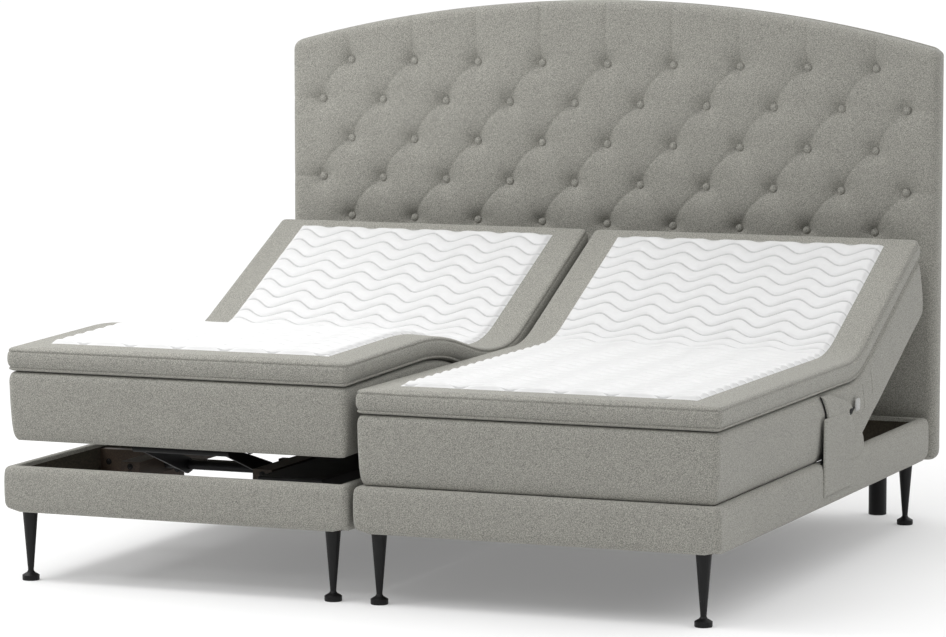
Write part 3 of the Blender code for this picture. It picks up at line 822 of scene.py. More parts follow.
def lay_on_base(points, side):
    """World places of points given on a flat half, with its sections raised as they rest."""
    flat = np.asarray(points, float)
    thigh = rest_angle(side, "thigh_hinge")
    knee = CALF_PER_THIGH * thigh
    at = flat[:, 1]
    bent = fold(flat, at, KNEE_AT, knee, KNEE_FOLD, True)
    bent = fold(bent, at, THIGH_AT, -thigh, THIGH_FOLD, True)
    bent = fold(bent, at, BACK_AT, rest_angle(side, "back_hinge"), BACK_FOLD, False)
    x = CENTRE_X[side] + OUTWARD[side] * bent[:, 0]
    return np.column_stack([x, bent[:, 1] + FOOT_Y, bent[:, 2] + HINGE_Z])


STRETCHES = (
    ("calf", "calf_section", "thigh_section", KNEE_AT, KNEE_ZONE, -1.0, THIGH_PART, ("calf", "thigh")),
    ("thigh", "thigh_section", "frame", THIGH_AT, THIGH_ZONE, THIGH_PART, SEAT_PART, ("seat",)),
    ("back", "frame", "back_section", BACK_AT, BACK_ZONE, SEAT_PART, 9.0, ("back",)),
)


def blend_over(piece):
    """Bakes a finished piece's placing into its mesh."""
    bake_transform(piece)


# Keeps the weaves of the two halves from being copies: twenty whole waves of the quilting
SWATCH = 20 * 0.146


def part_cover(name, side, flat, faces, face_material, materials, layer):
    """Bends a flat cover into place and parts it where its seams don't show.

    Each stretch crosses one hinge. It keeps the whole cover's normals, so the parting can't be seen.
    """
    places = lay_on_base(flat, side)
    if OUTWARD[side] < 0:
        faces = [face[::-1] for face in faces]
    normals = vertex_normals(places, faces)
    face_at = np.array([flat[list(face), 1].mean() for face in faces])
    face_material = np.asarray(face_material)
    for stretch, first, second, hinge_at, zone, start, end, nodes in STRETCHES:
        chosen = np.flatnonzero((face_at > start) & (face_at < end))
        kept = [faces[k] for k in chosen]
        paint = list(face_material[chosen])
        smooth_count = len(kept)
        for cut, facing in ((start, -1.0), (end, 1.0)):
            cap = section_cap(kept, flat, cut)
            if cap:
                kept.append(cap if cap_faces(cap, places, facing) else cap[::-1])
                paint.append(0)
        used, renumbered = np.unique(np.concatenate([np.array(face) for face in kept]), return_inverse=True)
        splits = np.cumsum([len(face) for face in kept])[:-1]
        local = [tuple(part) for part in np.split(renumbered, splits)]
        piece = mesh_object(f"{name}_{stretch}_{side}", places[used], local, materials, paint)
        store_places(piece.data, flat[used] + (OUTWARD[side] * SWATCH, 0.0, 0.0))
        keep_normals(piece.data, normals[used], smooth_count)
        blend_over(piece)
        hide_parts(*[f"{node}_{layer}_{side}" for node in nodes])


def section_cap(faces, flat, cut):
    """The closed loop of open edges at a parting, as one face, or None where the cover ends."""
    on_cut = {}
    for face in faces:
        for a, b in zip(face, face[1:] + face[:1]):
            if abs(flat[a, 1] - cut) < 1e-5 and abs(flat[b, 1] - cut) < 1e-5:
                on_cut[b] = a
    if not on_cut:
        return None
    first = next(iter(on_cut))
    loop = [first]
    while on_cut[loop[-1]] != first:
        loop.append(on_cut[loop[-1]])
    return tuple(loop)


def cap_faces(cap, places, facing):
    """Whether a cap's normal points along +Y or -Y as asked."""
    corners = places[list(cap)]
    centre = corners.mean(axis=0)
    following = np.roll(corners, -1, axis=0)
    normal = np.cross(corners - centre, following - centre).sum(axis=0)
    return normal[1] * facing > 0


def keep_normals(mesh, normals, smooth_count):
    """Gives the skin the whole cover's normals, and the flat caps their own."""
    corners = np.empty(len(mesh.loops), np.int32)
    mesh.loops.foreach_get("vertex_index", corners)
    wanted = normals[corners]
    for polygon in mesh.polygons[smooth_count:]:
        span = slice(polygon.loop_start, polygon.loop_start + polygon.loop_total)
        wanted[span] = tuple(polygon.normal)
    mesh.normals_split_custom_set(wanted.tolist())


# ---- Blocks and toppers ----


def wobble(along, across, size, seed):
    """A small, slow unevenness of hand-sewn cloth, the same on every run."""
    total = np.zeros(len(along))
    for n, (turns, weight) in enumerate(((3.1, 1.0), (7.3, 0.6), (13.7, 0.35))):
        total += weight * np.sin(turns * along + seed + n) * np.cos(turns * 0.8 * across + 2.0 * seed + n)
    return size * total


BLOCK_EDGE = 0.020
BLOCK_PROFILE = (
    (0.0070, -0.0010), (0.0120, -0.0036), (0.0157, -0.0075), (0.0180, -0.0125), (0.0194, -0.0190),
    (0.0200, -0.0280), (0.0200, -0.0500), (0.0194, -0.0850), (0.0178, -0.1200), (0.0156, -0.1480),
    (0.0138, -0.1640), (0.0114, -0.1760), (0.0084, -0.1850), (0.0044, -0.1920), (0.0, -0.1960),
)


def knee_relief(flat, side):
    """Raises the underside at a knee that is bent at rest, which would dip as the half is laid flat."""
    dip = 0.3 * KNEE_FOLD[0] * CALF_PER_THIGH * rest_angle(side, "thigh_hinge")
    near_knee = 1.0 - smooth_step(np.abs(flat[:, 1] - KNEE_AT), 0.02, 0.12)
    return dip * near_knee * smooth_step(-flat[:, 2], 0.10, 0.18)


def make_block(side):
    """One half's sprung block: four sections under one woven cover."""
    reach = BLOCK_REACH - BLOCK_EDGE
    across = spread(-reach, reach, 0.03, 0.006)
    along = spread(PAD_START + BLOCK_EDGE, PAD_END - BLOCK_EDGE, 0.016, 0.006, (THIGH_PART, SEAT_PART))
    flat, faces = soft_pad(across, along, 0.006, BLOCK_PROFILE)
    flat[:, 0] += wobble(flat[:, 1] * 4.0, flat[:, 2] * 20.0, 0.0006, 1.0) * np.sign(flat[:, 0])
    flat[:, 2] += knee_relief(flat, side) + BLOCK_HIGH
    part_cover("block", side, flat, faces, np.zeros(len(faces), int), [MATERIALS["cover"]], "block")


# How far the topper's top stays inside its outline
TOPPER_EDGE = 0.018
# How far a topper stands past its block at the head end
TOPPER_OVERHANG = 0.007
# The topper's cloth cover bulges past its core by this much
TOPPER_BULGE = 0.003
# Heights between which the seam under the top wanders
TOPPER_SEAM = (-0.0110, -0.0075)
TOPPER_PROFILE = (
    (0.0060, -0.0008), (0.0100, -0.0026), (0.0128, -0.0052), (0.0140, -0.0080), (0.0128, -0.0102),
    (0.0124, -0.0116), (0.0148, -0.0136), (0.0166, -0.0180), (0.0177, -0.0260), (0.0180, -0.0340),
    (0.0173, -0.0420), (0.0152, -0.0490), (0.0122, -0.0540), (0.0106, -0.0560), (0.0130, -0.0574),
    (0.0144, -0.0594), (0.0134, -0.0618), (0.0100, -0.0640), (0.0050, -0.0658), (0.0, -0.0670),
)


# Grid steps of the plain border and of the quilted panel, and the rolled edge's width
BORDER_STEP = 0.016
PANEL_STEP_ACROSS = 0.0058
PANEL_STEP_ALONG = 0.0052
TOPPER_ROLL = 0.006
# A border row this close to the panel's edge is left out
BORDER_GAP = 0.004
TOPPER_CROWN = 0.004


def topper_grid(panel_reach, panel_start, panel_end, reach, start, end):
    """Grid places across and along a topper: close together in the panel, and wider in the border."""
    border = spread(-reach, -panel_reach, BORDER_STEP, TOPPER_ROLL)
    border = border[border < -panel_reach - BORDER_GAP]
    panel = spread(-panel_reach, panel_reach, PANEL_STEP_ACROSS)
    across = np.unique(np.concatenate([border, panel, -border]).round(7))
    foot_side = spread(start, panel_start + TOPPER_ROLL, BORDER_STEP, TOPPER_ROLL)
    head_side = spread(panel_end - TOPPER_ROLL, end, BORDER_STEP, TOPPER_ROLL)
    along = np.unique(np.concatenate([
        foot_side[foot_side < panel_start - BORDER_GAP], head_side[head_side > panel_end + BORDER_GAP],
        spread(panel_start, panel_end, PANEL_STEP_ALONG, 0.0, (THIGH_PART, SEAT_PART)),
    ]).round(7))
    return across, along


def quilted_points(flat, faces, panel, face_panel, settings, tree):
    """The points of a flat topper after the quilting tree has raised its panel."""
    blank = mesh_object("topper_blank", flat, faces, [MATERIALS["cover"], MATERIALS["quilt"]])
    panel_share = blank.data.attributes.new("panel", "FLOAT", "POINT")
    panel_share.data.foreach_set("value", panel.astype(np.float32))
    blank.data.attributes.new("quilted", "BOOLEAN", "FACE").data.foreach_set("value", face_panel)
    quilted = grow(blank, tree, {
        "Row Spacing": settings.row_spacing, "Wave Length": settings.wave_length,
        "Wave Height": settings.wave_height, "Puff": settings.puff, "Material": MATERIALS["quilt"],
    })
    points = mesh_points(quilted)
    bpy.data.objects.remove(blank, do_unlink=True)
    bpy.data.meshes.remove(quilted)
    return points


def make_topper(side, settings, tree):
    """One half's topper: a boxed pad with a seam, a piped lower edge and a quilted white panel."""
    reach = TOPPER_REACH + TOPPER_BULGE - TOPPER_EDGE
    topper_end = PAD_END + TOPPER_OVERHANG
    panel_reach = TOPPER_REACH - settings.side_border
    panel_start, panel_end = settings.foot_border, topper_end - settings.head_border
    start, end = PAD_START + TOPPER_EDGE, topper_end - TOPPER_EDGE
    across, along = topper_grid(panel_reach, panel_start, panel_end, reach, start, end)
    flat, faces = soft_pad(across, along, TOPPER_ROLL, TOPPER_PROFILE)
    to_end = np.minimum(flat[:, 1] - panel_start, panel_end - flat[:, 1])
    inside = np.minimum(panel_reach - np.abs(flat[:, 0]), to_end)
    on_top = flat[:, 2] > -1e-6
    panel = np.where(on_top, smooth_step(inside, -0.0005, 0.010), 0.0)
    crown = TOPPER_CROWN * smooth_step(reach - np.abs(flat[:, 0]), 0.0, 0.12) * on_top
    seam = (flat[:, 2] > TOPPER_SEAM[0]) & (flat[:, 2] < TOPPER_SEAM[1])
    flat[:, 2] += np.where(seam, wobble(flat[:, 1] * 7.0, flat[:, 0] * 9.0, 0.0006, 4.0), 0.0)
    face_panel = np.array([inside[list(face)].min() > -1e-5 and on_top[list(face)].all() for face in faces])
    flat = quilted_points(flat, faces, panel, face_panel, settings, tree)
    flat[:, 2] += TOPPER_HIGH + crown + 0.001
    materials = [MATERIALS["cover"], MATERIALS["quilt"]]
    part_cover("topper", side, flat, faces, face_panel.astype(int), materials, "topper")


# ---- Box frames ----


def rounded_rectangle(low, high, radius, step, corner_steps=6):
    """Points round a rectangle, anticlockwise from above, with their outward directions.

    The third result is the corner that each point's arc belongs to, as signs, or zeros on a straight side.
    """
    points, outs, corners = [], [], []
    for sign_x, sign_y, start in ((1, -1, -90.0), (1, 1, 0.0), (-1, 1, 90.0), (-1, -1, 180.0)):
        centre_x = (high[0] if sign_x > 0 else low[0]) - sign_x * radius
        centre_y = (high[1] if sign_y > 0 else low[1]) - sign_y * radius
        for k in range(corner_steps + 1):
            angle = math.radians(start + 90.0 * k / corner_steps)
            outs.append((math.cos(angle), math.sin(angle)))
            points.append((centre_x + radius * outs[-1][0], centre_y + radius * outs[-1][1]))
            corners.append((sign_x, sign_y))
    filled, filled_outs, filled_corners = [], [], []
    for n, (point, out, corner) in enumerate(zip(points, outs, corners)):
        after = points[(n + 1) % len(points)]
        gap = math.dist(point, after)
        pieces = max(1, round(gap / step)) if gap > step * 1.5 else 1
        for k in range(pieces):
            filled.append([a + (b - a) * k / pieces for a, b in zip(point, after)])
            filled_outs.append(out)
            filled_corners.append(corner if k == 0 else (0, 0))
    return np.array(filled), np.array(filled_outs), np.array(filled_corners, float)


def ring_inside(path, outs, corners, radius, inward):
    """The path moved inward, with its corner arcs kept from turning inside out."""
    kept = max(radius - inward, 0.002)
    shift = inward + kept - radius
    in_corner = np.abs(corners[:, :1])
    arc = path - outs * (radius - kept) - corners * shift
    return in_corner * arc + (1.0 - in_corner) * (path - outs * inward)


FRAME_CORNER = 0.013
FRAME_HEIGHT = BASE_TOP - BASE_BOTTOM
# The bottom edge is drawn up by this much at a corner, and fades over this distance
CORNER_LIFT = 0.013
CORNER_LIFT_REACH = 0.030
# The cover's section, from the top of the inner face over the outer face and under: inward from
# the outer face, height, and 1 where the next strip is lining
FRAME_PROFILE = (
    (0.0282, 0.118, 0), (0.0270, 0.1275, 0), (0.0235, 0.1305, 0), (0.0160, 0.1312, 0),
    (0.0085, 0.1298, 0), (0.0020, 0.1262, 0), (-0.0020, 0.1205, 0), (-0.0042, 0.1100, 0),
    (-0.0052, 0.0850, 0), (-0.0052, 0.0500, 0), (-0.0042, 0.0250, 0), (-0.0016, 0.0110, 0),
    (0.0030, 0.0035, 0), (0.0100, 0.0005, 0), (0.0200, 0.0, 0), (0.0275, 0.0008, 1),
    (0.0286, 0.0080, 1), (0.0286, 0.060, 1),
)
FRAME_RAILS = ("foot_rail", "head_rail", "outer_side_rail", "inner_side_rail")


def box_round(nodes):
    """The (low, high) corners of the box round these nodes."""
    lows, highs = zip(*[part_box(node) for node in nodes])
    return Vector(map(min, *lows)), Vector(map(max, *highs))


def make_box_frame(side):
    """The covered box frame of one half, with woven fabric outside and brown lining inside."""
    rails = [f"{rail}_{side}" for rail in FRAME_RAILS]
    low, high = box_round(rails)
    path, outs, corners = rounded_rectangle((low.x, low.y), (high.x, high.y), FRAME_CORNER, 0.03)
    near_end = np.minimum(path[:, 1] - low.y, high.y - path[:, 1])
    near_side = np.minimum(path[:, 0] - low.x, high.x - path[:, 0])
    corner_gap = np.hypot(np.maximum(0.0, near_end), np.maximum(0.0, near_side))
    lift = CORNER_LIFT * (1.0 - smooth_step(corner_gap, 0.0, CORNER_LIFT_REACH))
    columns = []
    for inward, height, _ in FRAME_PROFILE:
        share = 1.0 - height / FRAME_HEIGHT
        z = low.z + height + lift * share**3
        columns.append(np.column_stack([ring_inside(path, outs, corners, FRAME_CORNER, inward), z]))
    count, levels = len(path), len(FRAME_PROFILE)
    points = np.concatenate(columns)
    points[:, 0] += wobble(points[:, 1] * 5.0, points[:, 2] * 30.0, 0.0003, 2.0)
    faces, paint = [], []
    for k in range(levels):
        below = (k + 1) % levels
        for n in range(count):
            after = (n + 1) % count
            faces.append((k * count + n, below * count + n, below * count + after, k * count + after))
            paint.append(1 if FRAME_PROFILE[k][2] or below == 0 else 0)
    materials = [MATERIALS["cover"], MATERIALS["lining"]]
    cover = mesh_object(f"frame_cover_{side}", points, faces, materials, paint)
    turn_outward(cover)
    store_places(cover.data, mesh_points(cover.data))
    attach(cover, "frame")
    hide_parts(*rails)


# ---- Headboard ----


def button_places(settings):
    """(across, height) of every button: nine in odd rows; eight in even rows and one near each end."""
    places = []
    for row in range(5):
        z = settings.top_row - row * settings.row_drop
        if row % 2 == 0:
            places += [((i - 4) * settings.button_pitch, z) for i in range(9)]
        else:
            places += [((i - 3.5) * settings.button_pitch, z) for i in range(8)]
            places += [(sign * 4.45 * settings.button_pitch, z) for sign in (-1, 1)]
    return places


def drawn_crease(distance, crisp_depth, crisp_width, soft_depth, soft_width):
    """Depth of a sewn crease: a crisp line with soft shoulders."""
    crisp = crisp_depth * np.exp(-distance / crisp_width)
    return crisp + soft_depth * np.exp(-(distance / soft_width) ** 2)


def tuft_relief(x, z, settings):
    """How far the cover stands from its plane: creases, pleats and dimples, all drawn in."""
    pitch, drop = settings.button_pitch, settings.row_drop
    row = (settings.top_row - z) / drop
    falling = x / pitch - row / 2
    leaning = x / pitch + row / 2 + 0.085 * np.abs(np.sin(math.pi * falling))
    normal = pitch * drop / math.hypot(pitch / 2, drop)
    crisp = np.abs(leaning - np.round(leaning)) * normal
    soft = np.abs(falling - np.round(falling)) * normal
    field = smooth_step(row, -0.12, 0.03) * (1.0 - smooth_step(row, 3.97, 4.12))
    field = field * (1.0 - smooth_step(np.abs(x), 4.25 * pitch, 4.5 * pitch))
    relief = -field * drawn_crease(crisp, 0.0042, 0.0035, 0.0018, 0.022)
    relief -= field * 0.0010 * np.exp(-(soft / 0.022) ** 2)
    for button_x, button_z in button_places(settings):
        away = np.hypot(x - button_x, (z - button_z) * 1.05)
        relief -= settings.dimple * np.exp(-(away / 0.031) ** 1.25)
    pleat = np.abs(x / pitch - np.round(x / pitch)) * pitch
    above = smooth_step(-row, -0.02, 0.10) * (np.abs(x) < 4.2 * pitch)
    relief -= above * drawn_crease(pleat, 0.0034, 0.005, 0.0018, 0.024)
    for number in (1, 3):
        height = settings.top_row - number * drop
        beside = smooth_step(np.abs(x), 4.40 * pitch, 4.5 * pitch)
        relief -= beside * drawn_crease(np.abs(z - height), 0.0034, 0.005, 0.0018, 0.024)
    return relief


# How far the stuffed sides swell past the board behind them
HEADBOARD_BULGE = 0.009
HEADBOARD_EDGE = 0.0292
# The grid's top before it is drawn to the arc
FLAT_TOP = 1.50
HEADBOARD_PROFILE = (
    (0.009, -0.0012), (0.017, -0.0050), (0.0235, -0.0115), (0.0275, -0.0200), (0.0292, -0.0310),
    (0.0292, -0.0440), (0.0280, -0.0560), (0.0250, -0.0620), (0.0200, -0.0645), (0.012, -0.0650),
)


def crown_height(x, settings):
    """Height of the headboard's arc."""
    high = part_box("headboard_padding")[1]
    half, rise = high.x, high.z - settings.shoulder
    radius = (half**2 + rise**2) / (2.0 * rise)
    return high.z - radius + np.sqrt(radius**2 - np.minimum(np.abs(x), half) ** 2)


def drawn_to_arc(x, z, arc_start, edge, settings):
    """Heights of a grid that ends at FLAT_TOP, with its upper part drawn out or in to end under the arc."""
    stretch = (crown_height(x, settings) - edge - arc_start) / (FLAT_TOP - arc_start)
    drawn = np.where(z > arc_start, arc_start + (np.minimum(z, FLAT_TOP) - arc_start) * stretch, z)
    return drawn + np.maximum(z - FLAT_TOP, 0.0)


def make_headboard_padding(settings):
    """The tufted front of the headboard."""
    low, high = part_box("headboard_padding")
    edge = HEADBOARD_EDGE
    reach = high.x + HEADBOARD_BULGE - edge
    across = spread(-reach, reach, 0.0052, 0.007, [k * settings.button_pitch for k in range(-4, 5)])
    plain_top = settings.top_row - 4.6 * settings.row_drop
    along = np.unique(np.concatenate([
        spread(low.z + edge, plain_top, 0.03, 0.007)[:-1], spread(plain_top, FLAT_TOP - 0.013, 0.0052),
        spread(FLAT_TOP - 0.1, FLAT_TOP, 5.0, 0.007)[-5:],
    ]).round(7))
    flat, faces = soft_pad(across, along, 0.007, HEADBOARD_PROFILE)
    flat[:, 1] = drawn_to_arc(flat[:, 0], flat[:, 1], settings.top_row + 0.02, edge, settings)
    fade = np.exp(-np.maximum(-flat[:, 2], 0.0) / 0.02)
    relief = tuft_relief(flat[:, 0], flat[:, 1], settings) * fade
    surface = low.y - flat[:, 2] - relief
    points = np.column_stack([flat[:, 0], surface, flat[:, 1]])
    pad = mesh_object("headboard_padding_tufted", points, faces, [MATERIALS["cover"]])
    turn_outward(pad)
    store_places(pad.data, mesh_points(pad.data))
    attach(pad, "frame")
    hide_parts("headboard_padding")


def make_headboard_back(settings):
    """The covered board behind the padding, with softened edges."""
    low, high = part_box("headboard_board")
    edge = 0.006
    across = spread(-(high.x - edge), high.x - edge, 0.04, 0.026)
    along = spread(low.z + edge, FLAT_TOP, 0.05, 0.026)
    thick = high.y - low.y
    profile = ((0.0035, -0.0008), (0.0056, -0.003), (0.006, -0.007), (0.006, -thick + 0.001), (0.0, -thick))
    flat, faces = soft_pad(across, along, 0.026, profile)
    z = drawn_to_arc(flat[:, 0], flat[:, 1], settings.top_row, edge, settings)
    points = np.column_stack([flat[:, 0], high.y + flat[:, 2], z])
    board = mesh_object("headboard_back_cover", points, faces, [MATERIALS["cover"]])
    turn_outward(board)
    store_places(board.data, mesh_points(board.data))
    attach(board, "frame")
    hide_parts("headboard_board")


# How far a button's middle stands out of the bottom of its dimple
BUTTON_STAND = 0.0095


def make_buttons(settings):
    """Covered buttons, sunk in their dimples."""
    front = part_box("headboard_padding")[0].y
    places = button_places(settings)
    depths = tuft_relief(*np.array(places).T, settings)
    points = [(x, front - depth - BUTTON_STAND, z) for (x, z), depth in zip(places, depths)]
    grow_piece(
        "headboard_buttons", points, [], button_tree(),
        {"Radius": settings.button_radius, "Material": MATERIALS["cover"]}, "frame",
    )


# ---- Side panel and pocket on the outer side of each half ----


# Heights above the base's bottom edge, with the places along the half where the panel starts and ends
SIDE_PANEL = (
    (0.100, 0.925, 1.235), (0.118, 0.923, 1.285), (0.134, 0.924, 1.308), (0.160, 0.928, 1.300),
    (0.205, 0.938, 1.262), (0.246, 0.950, 1.215), (0.278, 0.938, 1.150), (0.295, 0.922, 1.090),
    (0.322, 0.892, 0.960),
)
SIDE_POCKET = (
    (0.032, 0.904, 1.164), (0.060, 0.903, 1.165), (0.130, 0.903, 1.166), (0.200, 0.903, 1.165),
    (0.230, 0.904, 1.160), (0.246, 0.905, 1.150), (0.256, 0.910, 1.138),
)
SIDE_SLIT = (
    (0.128, 0.900, 0.926), (0.140, 0.9085, 0.9265), (0.155, 0.919, 0.9285), (0.180, 0.9290, 0.9345),
    (0.210, 0.9370, 0.9420), (0.246, 0.9465, 0.9510), (0.270, 0.9405, 0.9445), (0.295, 0.9195, 0.9230),
    (0.3225, 0.8870, 0.8910),
)
SIDE_TAG = ((0.243, 1.212, 1.240), (0.252, 1.208, 1.246), (0.270, 1.208, 1.247), (0.280, 1.211, 1.243))
POCKET_MOUTH = ((0.238, 1.140, 1.168), (0.247, 1.146, 1.186), (0.255, 1.150, 1.204), (0.259, 1.170, 1.206))


# Creases of the panel and the pocket: start and end as (along, height), and depth
PANEL_CREASES = (
    ((1.262, 0.098), (1.322, 0.104), 0.0012), ((1.130, 0.300), (1.190, 0.215), 0.0014),
    ((1.215, 0.240), (1.200, 0.150), 0.0012), ((1.010, 0.300), (1.060, 0.270), 0.0008),
)
POCKET_CREASES = (
    ((0.950, 0.250), (0.985, 0.060), 0.0010), ((1.120, 0.240), (1.090, 0.080), 0.0009),
    ((0.930, 0.130), (1.130, 0.136), 0.0007),
)
FLAP_STEP = 0.006


def crease_depth(along, height, creases):
    """How far creases draw a flap in at each place."""
    total = np.zeros(along.shape)
    for (start_along, start_height), (end_along, end_height), depth in creases:
        run, climb = end_along - start_along, end_height - start_height
        past_start = (along - start_along) * run + (height - start_height) * climb
        share = np.clip(past_start / (run**2 + climb**2), 0.0, 1.0)
        away = np.hypot(along - start_along - share * run, height - start_height - share * climb)
        total += depth * np.exp(-(away / 0.006) ** 1.4)
    return total


def flap_faces(rows, columns):
    """Faces of a closed flap: a front grid, a back grid numbered after it, and the edge between."""
    shift = rows * columns
    faces = []
    for j in range(rows - 1):
        for k in range(j * columns, (j + 1) * columns - 1):
            quad = (k, k + 1, k + columns + 1, k + columns)
            faces += [quad, tuple(shift + corner for corner in quad[::-1])]
    loop = edge_loop(rows, columns)
    faces += [(a, shift + a, shift + b, b) for a, b in zip(loop, np.roll(loop, -1))]
    return faces


def side_flap(name, side, rows, inner, thickness, edge, columns, finish, creases=()):
    """A flap of cloth on a half's outer side, thinned to its edges.

    rows gives heights with the places where the flap starts and ends, and inner is how far out its
    back lies.
    """
    heights = [row[0] for row in rows]
    fine = np.unique(np.concatenate([
        np.linspace(a, b, max(2, round((b - a) / FLAP_STEP) + 1)) for a, b in zip(heights, heights[1:])
    ]).round(6))
    starts = np.interp(fine, heights, [row[1] for row in rows])[:, None]
    ends = np.interp(fine, heights, [row[2] for row in rows])[:, None]
    along = starts + (ends - starts) * np.linspace(0.0, 1.0, columns)
    height = np.repeat(fine[:, None], columns, axis=1)
    to_side = np.minimum(along - starts, ends - along)
    to_end = np.minimum(height - fine[0], fine[-1] - height)
    share = np.clip(np.minimum(to_side, to_end) / edge, 0.0, 1.0)
    fullness = 0.25 + 0.75 * np.sqrt(1.0 - (1.0 - share) ** 2)
    out = thickness * fullness - crease_depth(along, height, creases)
    front = np.stack([inner + out, along, height], axis=-1).reshape(-1, 3)
    back = np.stack([np.full(along.shape, inner), along, height], axis=-1).reshape(-1, 3)
    places = np.concatenate([front, back])
    world = places + (0.0, FOOT_Y, BASE_BOTTOM)
    world[:, 0] *= OUTWARD[side]
    flap = mesh_object(f"{name}_{side}", world, flap_faces(len(fine), columns), [MATERIALS[finish]])
    turn_outward(flap)
    store_places(flap.data, places[:, [1, 2, 0]])
    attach(flap, "frame")
    return flap


def make_side_pocket(side):
    """The flap that closes the seat's side, its pocket, the dark slit before it, and a loop of tape."""
    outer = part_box(f"outer_side_rail_{side}")
    face = max(abs(outer[0].x), abs(outer[1].x))
    panel = side_flap(
        "side_panel", side, SIDE_PANEL, face - 0.0032, 0.0092, 0.010, 44, "cover", PANEL_CREASES,
    )
    pocket = side_flap(
        "side_pocket", side, SIDE_POCKET, face + 0.0050, 0.0042, 0.006, 36, "cover", POCKET_CREASES,
    )
    # The slit and the pocket mouth are black sheets: painted shade in their gaps
    side_flap("side_slit", side, SIDE_SLIT, face - 0.0030, 0.0042, 0.001, 4, "elastic")
    side_flap("pocket_mouth", side, POCKET_MOUTH, face + 0.0040, 0.0034, 0.002, 8, "elastic")
    side_flap("side_tag", side, SIDE_TAG, face + 0.0050, 0.0050, 0.003, 10, "tape")


# Places along the half of the two stitched columns
STITCHED_AT = (1.315, 1.400)


def make_side_stitches(side, tree):
    """Two columns of stitching on the back block's outer side, which bend with it."""
    heights = np.arange(-0.003, -0.116, -0.004)
    for number, at in enumerate(STITCHED_AT):
        out = BLOCK_REACH + 0.0004
        leans = [0.012 * max(0.0, -height - 0.06) / 0.1 for height in heights]
        path = lay_on_base([(out - lean, at, height) for lean, height in zip(leans, heights)], side)
        edges = [(n, n + 1) for n in range(len(path) - 1)]
        name = f"side_stitches_{number}_{side}"
        row = grow_piece(name, path, edges, tree, {"Material": MATERIALS["cover"]}, None)
        blend_over(row)


# Bolts of the cross board above its bottom: beside each beam, and out by the ledges
BEAM_BOLT_SPREAD = 0.042
BEAM_BOLT_HEIGHT = 0.025
LEDGE_BOLT_SPREAD = 0.47
LEDGE_BOLT_HEIGHT = 0.036
# Bolts in the end of each beam, above its bottom
BEAM_END_HEIGHTS = (0.014, 0.034)


def make_bolts(side, tree):
    """Bolt heads with washers that hold the cross board and the beams."""
    board_low, board_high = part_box(f"cross_board_{side}")
    places = []
    for beam in ("outer", "inner"):
        low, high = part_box(f"{beam}_drive_beam_{side}")
        middle = (low.x + high.x) / 2
        for sign in (-1, 1):
            places.append((middle + sign * BEAM_BOLT_SPREAD, board_low.y, board_low.z + BEAM_BOLT_HEIGHT))
        places += [(middle, low.y, low.z + height) for height in BEAM_END_HEIGHTS]
    centre = (board_low.x + board_high.x) / 2
    for sign in (-1, 1):
        places.append((centre + sign * LEDGE_BOLT_SPREAD, board_low.y, board_low.z + LEDGE_BOLT_HEIGHT))
    values = {"Material": MATERIALS["metal"]}
    grow_piece(f"carrier_bolts_{side}", places, [], tree, values, "frame")


# ---- Finishes of the carried-over nodes ----


def paint_nodes():
    """Gives every hard node of the frame its finish."""
    finishes = {
        "leg": "metal", "post": "metal", "shaft": "metal", "rod": "steel",
        "ledge": "wood", "beam": "wood", "cross_board": "wood", "drive_unit": "plastic",
    }
    for name, node in NODES.items():
        for word, finish in finishes.items():
            if word in name:
                node.data.materials.clear()
                node.data.materials.append(MATERIALS[finish])


# ---- Stage ----


def make_floor():
    mesh = bpy.data.meshes.new("floor")
    corners = [(-60.0, -60.0, 0.0), (60.0, -60.0, 0.0), (60.0, 60.0, 0.0), (-60.0, 60.0, 0.0)]
    mesh.from_pydata(corners, [], [(0, 1, 2, 3)])
    material, tree, shader = new_material("pale_floor", 0.85)
    patches = noise(tree, object_place(tree), 0.8)
    colour_between(tree, shader, patches, (0.3, (0.71, 0.71, 0.71)), (0.7, (0.72, 0.72, 0.72)))
    shader.inputs["Specular IOR Level"].default_value = 0.1
    shader.inputs["Emission Color"].default_value = (1.0, 1.0, 1.0, 1.0)
    shader.inputs["Emission Strength"].default_value = 0.21
    mesh.materials.append(material)
    floor = bpy.data.objects.new("floor", mesh)
    bpy.context.scene.collection.objects.link(floor)


def add_soft_sun(name, place, breadth, strength):
    """A sun that shines from a place towards the origin, as broad as this many degrees of sky."""
    light = bpy.data.lights.new(name, "SUN")
    light.angle = math.radians(breadth)
    light.energy = strength
    lamp = bpy.data.objects.new(name, light)
    bpy.context.scene.collection.objects.link(lamp)
    lamp.location = place
    lamp.rotation_euler = (-Vector(place)).to_track_quat("-Z", "Y").to_euler()


def add_panel_light(name, place, target, size, power):
    """A round light this wide, aimed at the target."""
    light = bpy.data.lights.new(name, "AREA")
    light.shape = "DISK"
    light.size = size
    light.energy = power
    lamp = bpy.data.objects.new(name, light)
    bpy.context.scene.collection.objects.link(lamp)
    lamp.location = place
    lamp.rotation_euler = (Vector(target) - Vector(place)).to_track_quat("-Z", "Y").to_euler()


def make_camera(settings):
    data = bpy.data.cameras.new("camera")
    data.lens = settings.lens
    data.sensor_width = 36.0
    data.clip_end = 200.0
    camera = bpy.data.objects.new("camera", data)
    bpy.context.scene.collection.objects.link(camera)
    camera.location = settings.camera_place
    aim = Vector(settings.camera_target) - Vector(settings.camera_place)
    camera.rotation_euler = aim.to_track_quat("-Z", "Y").to_euler()
    bpy.context.scene.camera = camera


